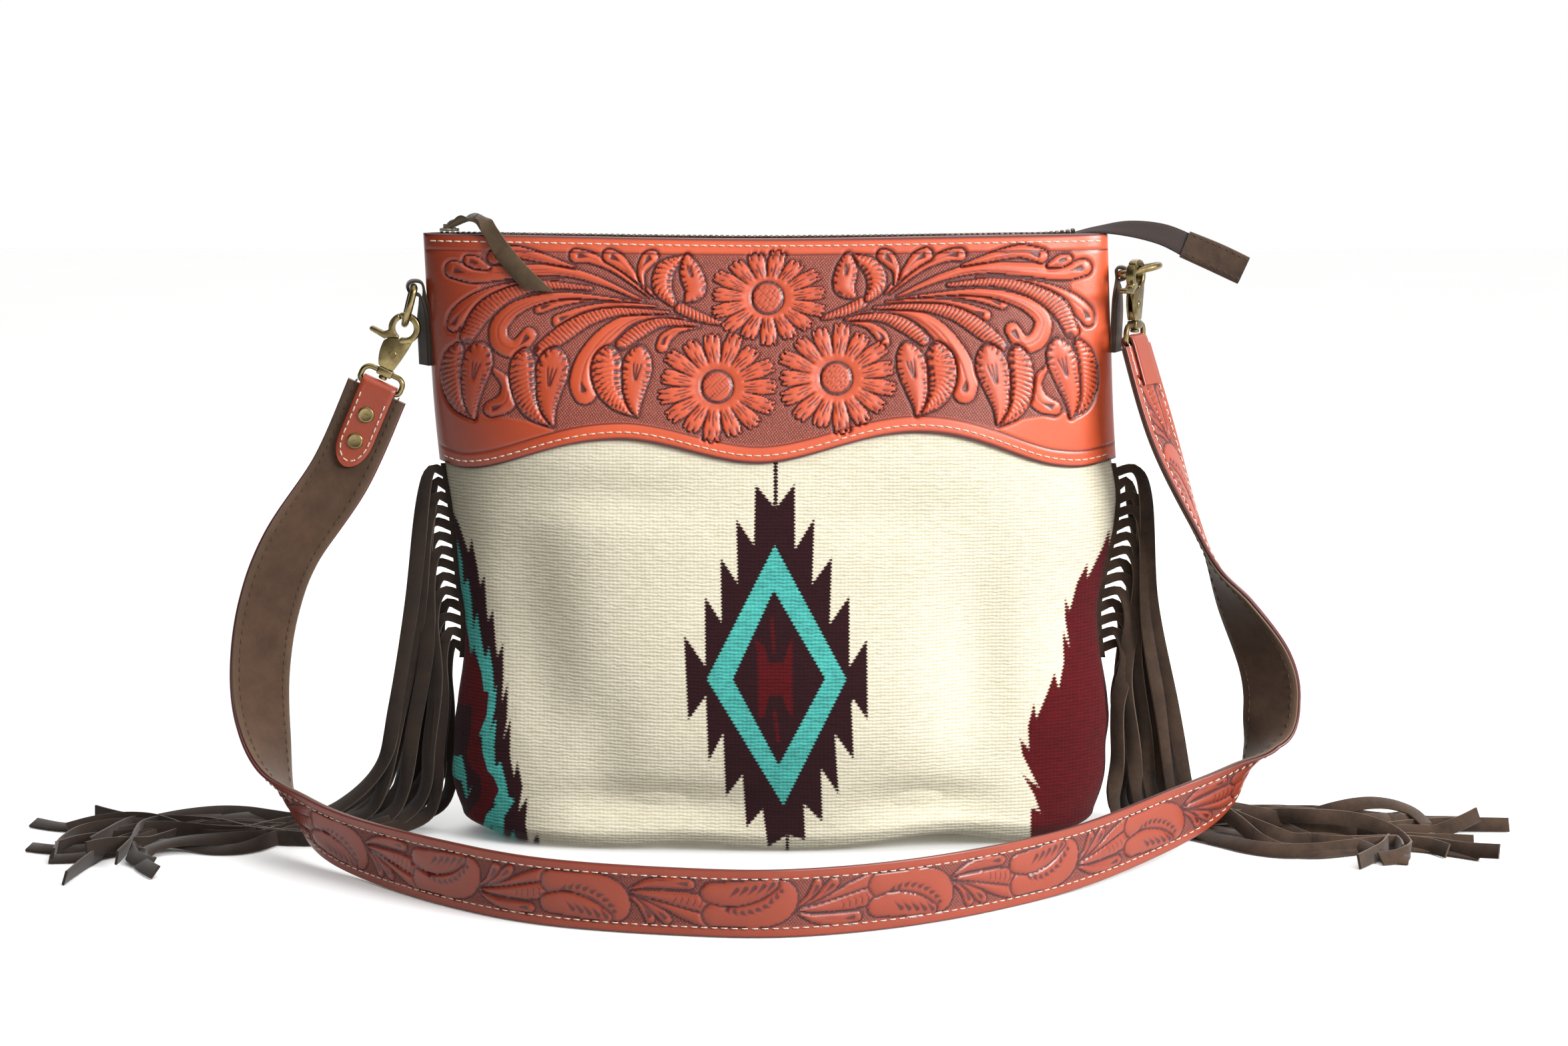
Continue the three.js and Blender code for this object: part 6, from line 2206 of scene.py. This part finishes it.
@dataclass
class Fringe:
    """Cut suede strips that loop out of a seam, hang together and spread on the floor."""

    form: BagForm
    side: Side
    fans: tuple[float, ...]
    pile: float
    curl: float
    length: float
    sweep: float
    strips: int = 14
    top: float = 214.5
    pitch: float = 10.4
    half: float = 4.3
    thick: float = 1.5
    heights: tuple[float, ...] = (105, 120, 138, 166, 194, 208, 220)

    def seam(self, z: float) -> float:
        """Gives the seam's x at a height."""
        return float(self.form.point(np.array([self.side.outward]), np.array([float(z)]), -1.0, 0.0)[0, 0])

    def line(self, strip: int) -> Route:
        """Gives one strip's line.

        Args:
            strip: its place in the seam from the top.

        Returns:
            The line, with the strip's half width in its last column.
        """
        outward = self.side.outward
        index = strip * 10 / (self.strips - 1)
        lot = index + (0.0 if self.side is Side.LEFT else 40.0)
        seam_z = self.top - index * self.pitch
        seam_x = self.seam(seam_z)
        reach = 9 + 9 * scatter(lot, 1)
        sweep = self.sweep * (0.35 + scatter(lot, 11)) * (1 - index / 16)
        land_x = self.seam(20) + outward * (9 + 4.6 * (10 - index) + 6 * scatter(lot, 2) - 0.25 * sweep)
        deep = (-9.0, 8.0, -1.0)[strip % 3] + 5 * (scatter(lot, 3) - 0.5)
        hang = math.radians(60 * (scatter(lot, 7) - 0.5) + (0, 40, -35)[strip % 3])
        face = [outward * math.cos(hang), math.sin(hang), 0.1]
        slim = 0.62 * self.half
        rows = [
            [seam_x + outward * 1.2, 0, seam_z, 0, 0.15, 1, slim],
            [seam_x + outward * reach * 0.75, deep * 0.3 - 2, seam_z + 2.5, 0.35 * outward, 0.3, 0.9, slim],
            [
                seam_x + outward * (reach + 2), deep * 0.6 - 2, seam_z - 14, 0.8 * outward, 0.4, 0.4,
                self.half
            ],
            [seam_x * 0.7 + land_x * 0.3 + outward * 7, deep, seam_z * 0.66, *face, self.half],
            [seam_x * 0.35 + land_x * 0.65 + outward * 3, deep, seam_z * 0.33 + 8, *face, self.half],
            [land_x - outward * 3, deep, 19 + 0.7 * sweep, 0.8 * face[0], 0.6, 0.3, self.half],
            [land_x + outward * (1 + 0.6 * sweep), deep, 8 + 0.3 * sweep, 0.5 * face[0], 0.7, 0.5, self.half]
        ]
        run = self.length - reach - seam_z - 0.4 * sweep
        fan = math.radians(float(np.interp(index, np.arange(len(self.fans)), self.fans)))
        spot = np.array([land_x + outward * (4 + 1.3 * sweep), deep])
        for share in np.linspace(0.08, 1.0, 12):
            wave = (0.35 + 0.4 * scatter(lot, 4)) * math.sin(9 * share + 6 * scatter(lot, 5))
            bend = self.curl * (2.6 * scatter(lot, 6) - 0.9) * max(share - 0.62, 0) * 2.6
            way = fan + wave + bend
            spot = spot + np.array([outward * math.cos(way), -math.sin(way)]) * run / 12
            lean = math.radians(48 + 34 * math.sin(4 * share + 6 * scatter(lot, 8)))
            lift = self.pile * max(0.0, math.sin(5 * share + 6 * scatter(lot, 9))) * scatter(lot, 10)
            rows.append(
                [
                    *spot, lift + self.half * math.sin(lean), 0.2 * math.sin(way), math.cos(lean),
                    math.sin(lean), self.half
                ]
            )
        return Route(np.array(rows, float))

    def build(self) -> None:
        """Makes the strips and the strip in the seam that they are cut from."""
        outward = self.side.outward
        corner = np.array(
            [(-1, -0.6), (-0.93, -1), (0.93, -1), (1, -0.6), (1, 0.6), (0.93, 1), (-0.93, 1), (-1, 0.6)]
        )
        shape = corner * np.array([1.0, self.thick / 2])
        rings: list[Array] = []
        for strip in range(self.strips):
            line = self.line(strip)
            places, _ = line.even(130)
            point, _, across, normal, half = line.frames(places)
            low = half * np.abs(across[:, 2]) + self.thick / 2 * np.abs(normal[:, 2])
            point[:, 2] = np.maximum(point[:, 2], 0.3 + low)
            wide = across[:, None] * (shape[:, :1] * half[:, None, None])
            rings.append(point[:, None] + wide + normal[:, None] * shape[:, 1:])
        heights = np.linspace(self.heights[0], self.heights[-1], 40)
        seam = np.array([self.seam(z) for z in heights])
        middle = np.stack([seam + outward * 0.8, np.zeros(40), heights], axis=1)
        way = np.array([[1.7, 0.0, 0.0]])
        out = np.array([[0.0, 1.0, 0.0]])
        rings.append(middle[:, None] + way * shape[None, :, :1] + out * shape[None, :, 1:])
        piece = many_lofts(f"{self.side.value}_suede_fringe", rings, (0, 3, 4, 7))
        dress(soften(piece, 50), Finish.DARK_SUEDE, f"{self.side.value}_fringe")


def main() -> None:
    """Builds the scene: the set first, then the bag from its body outwards."""
    logging.basicConfig(level=logging.INFO, format="%(message)s")
    StudioSet().build()
    form = BagForm()
    Blanket(form).build()
    Yoke(form).build()
    Zip(form).build()
    left = StrapEnd(
        Side.LEFT, (-202.4, 0, 322), 10.0, 1.5, 5.0, 0.26, -0.9656, 22.0, 0.0, (0.4214, 0, 0.9069),
        (-0.9069, 0, 0.4214), (-0.4214, 0, -0.9069), 22.0
    )
    right = StrapEnd(
        Side.RIGHT, (203.3, 0, 329.8), -10.0, 1.0, 1.5, 0.975, 0.22, 9.0, -10.4, (0, 0, 1),
        (-0.5, -0.866, 0), (0.28, -0.162, -0.946), -14.0
    )
    left.build()
    right.build()
    Strap(left, right).build()
    Fringe(form, Side.LEFT, (30, 14, 22, 4, 12, -6, 16, 8, -2, 10, 4), 7.0, 1.0, 379.0, 30.0).build()
    Fringe(form, Side.RIGHT, (26, -8, 20, 12, -10, 24, 5, 18, 0, 15, 8), 16.0, 1.3, 362.0, 9.0).build()


if __name__ == "__main__":
    main()
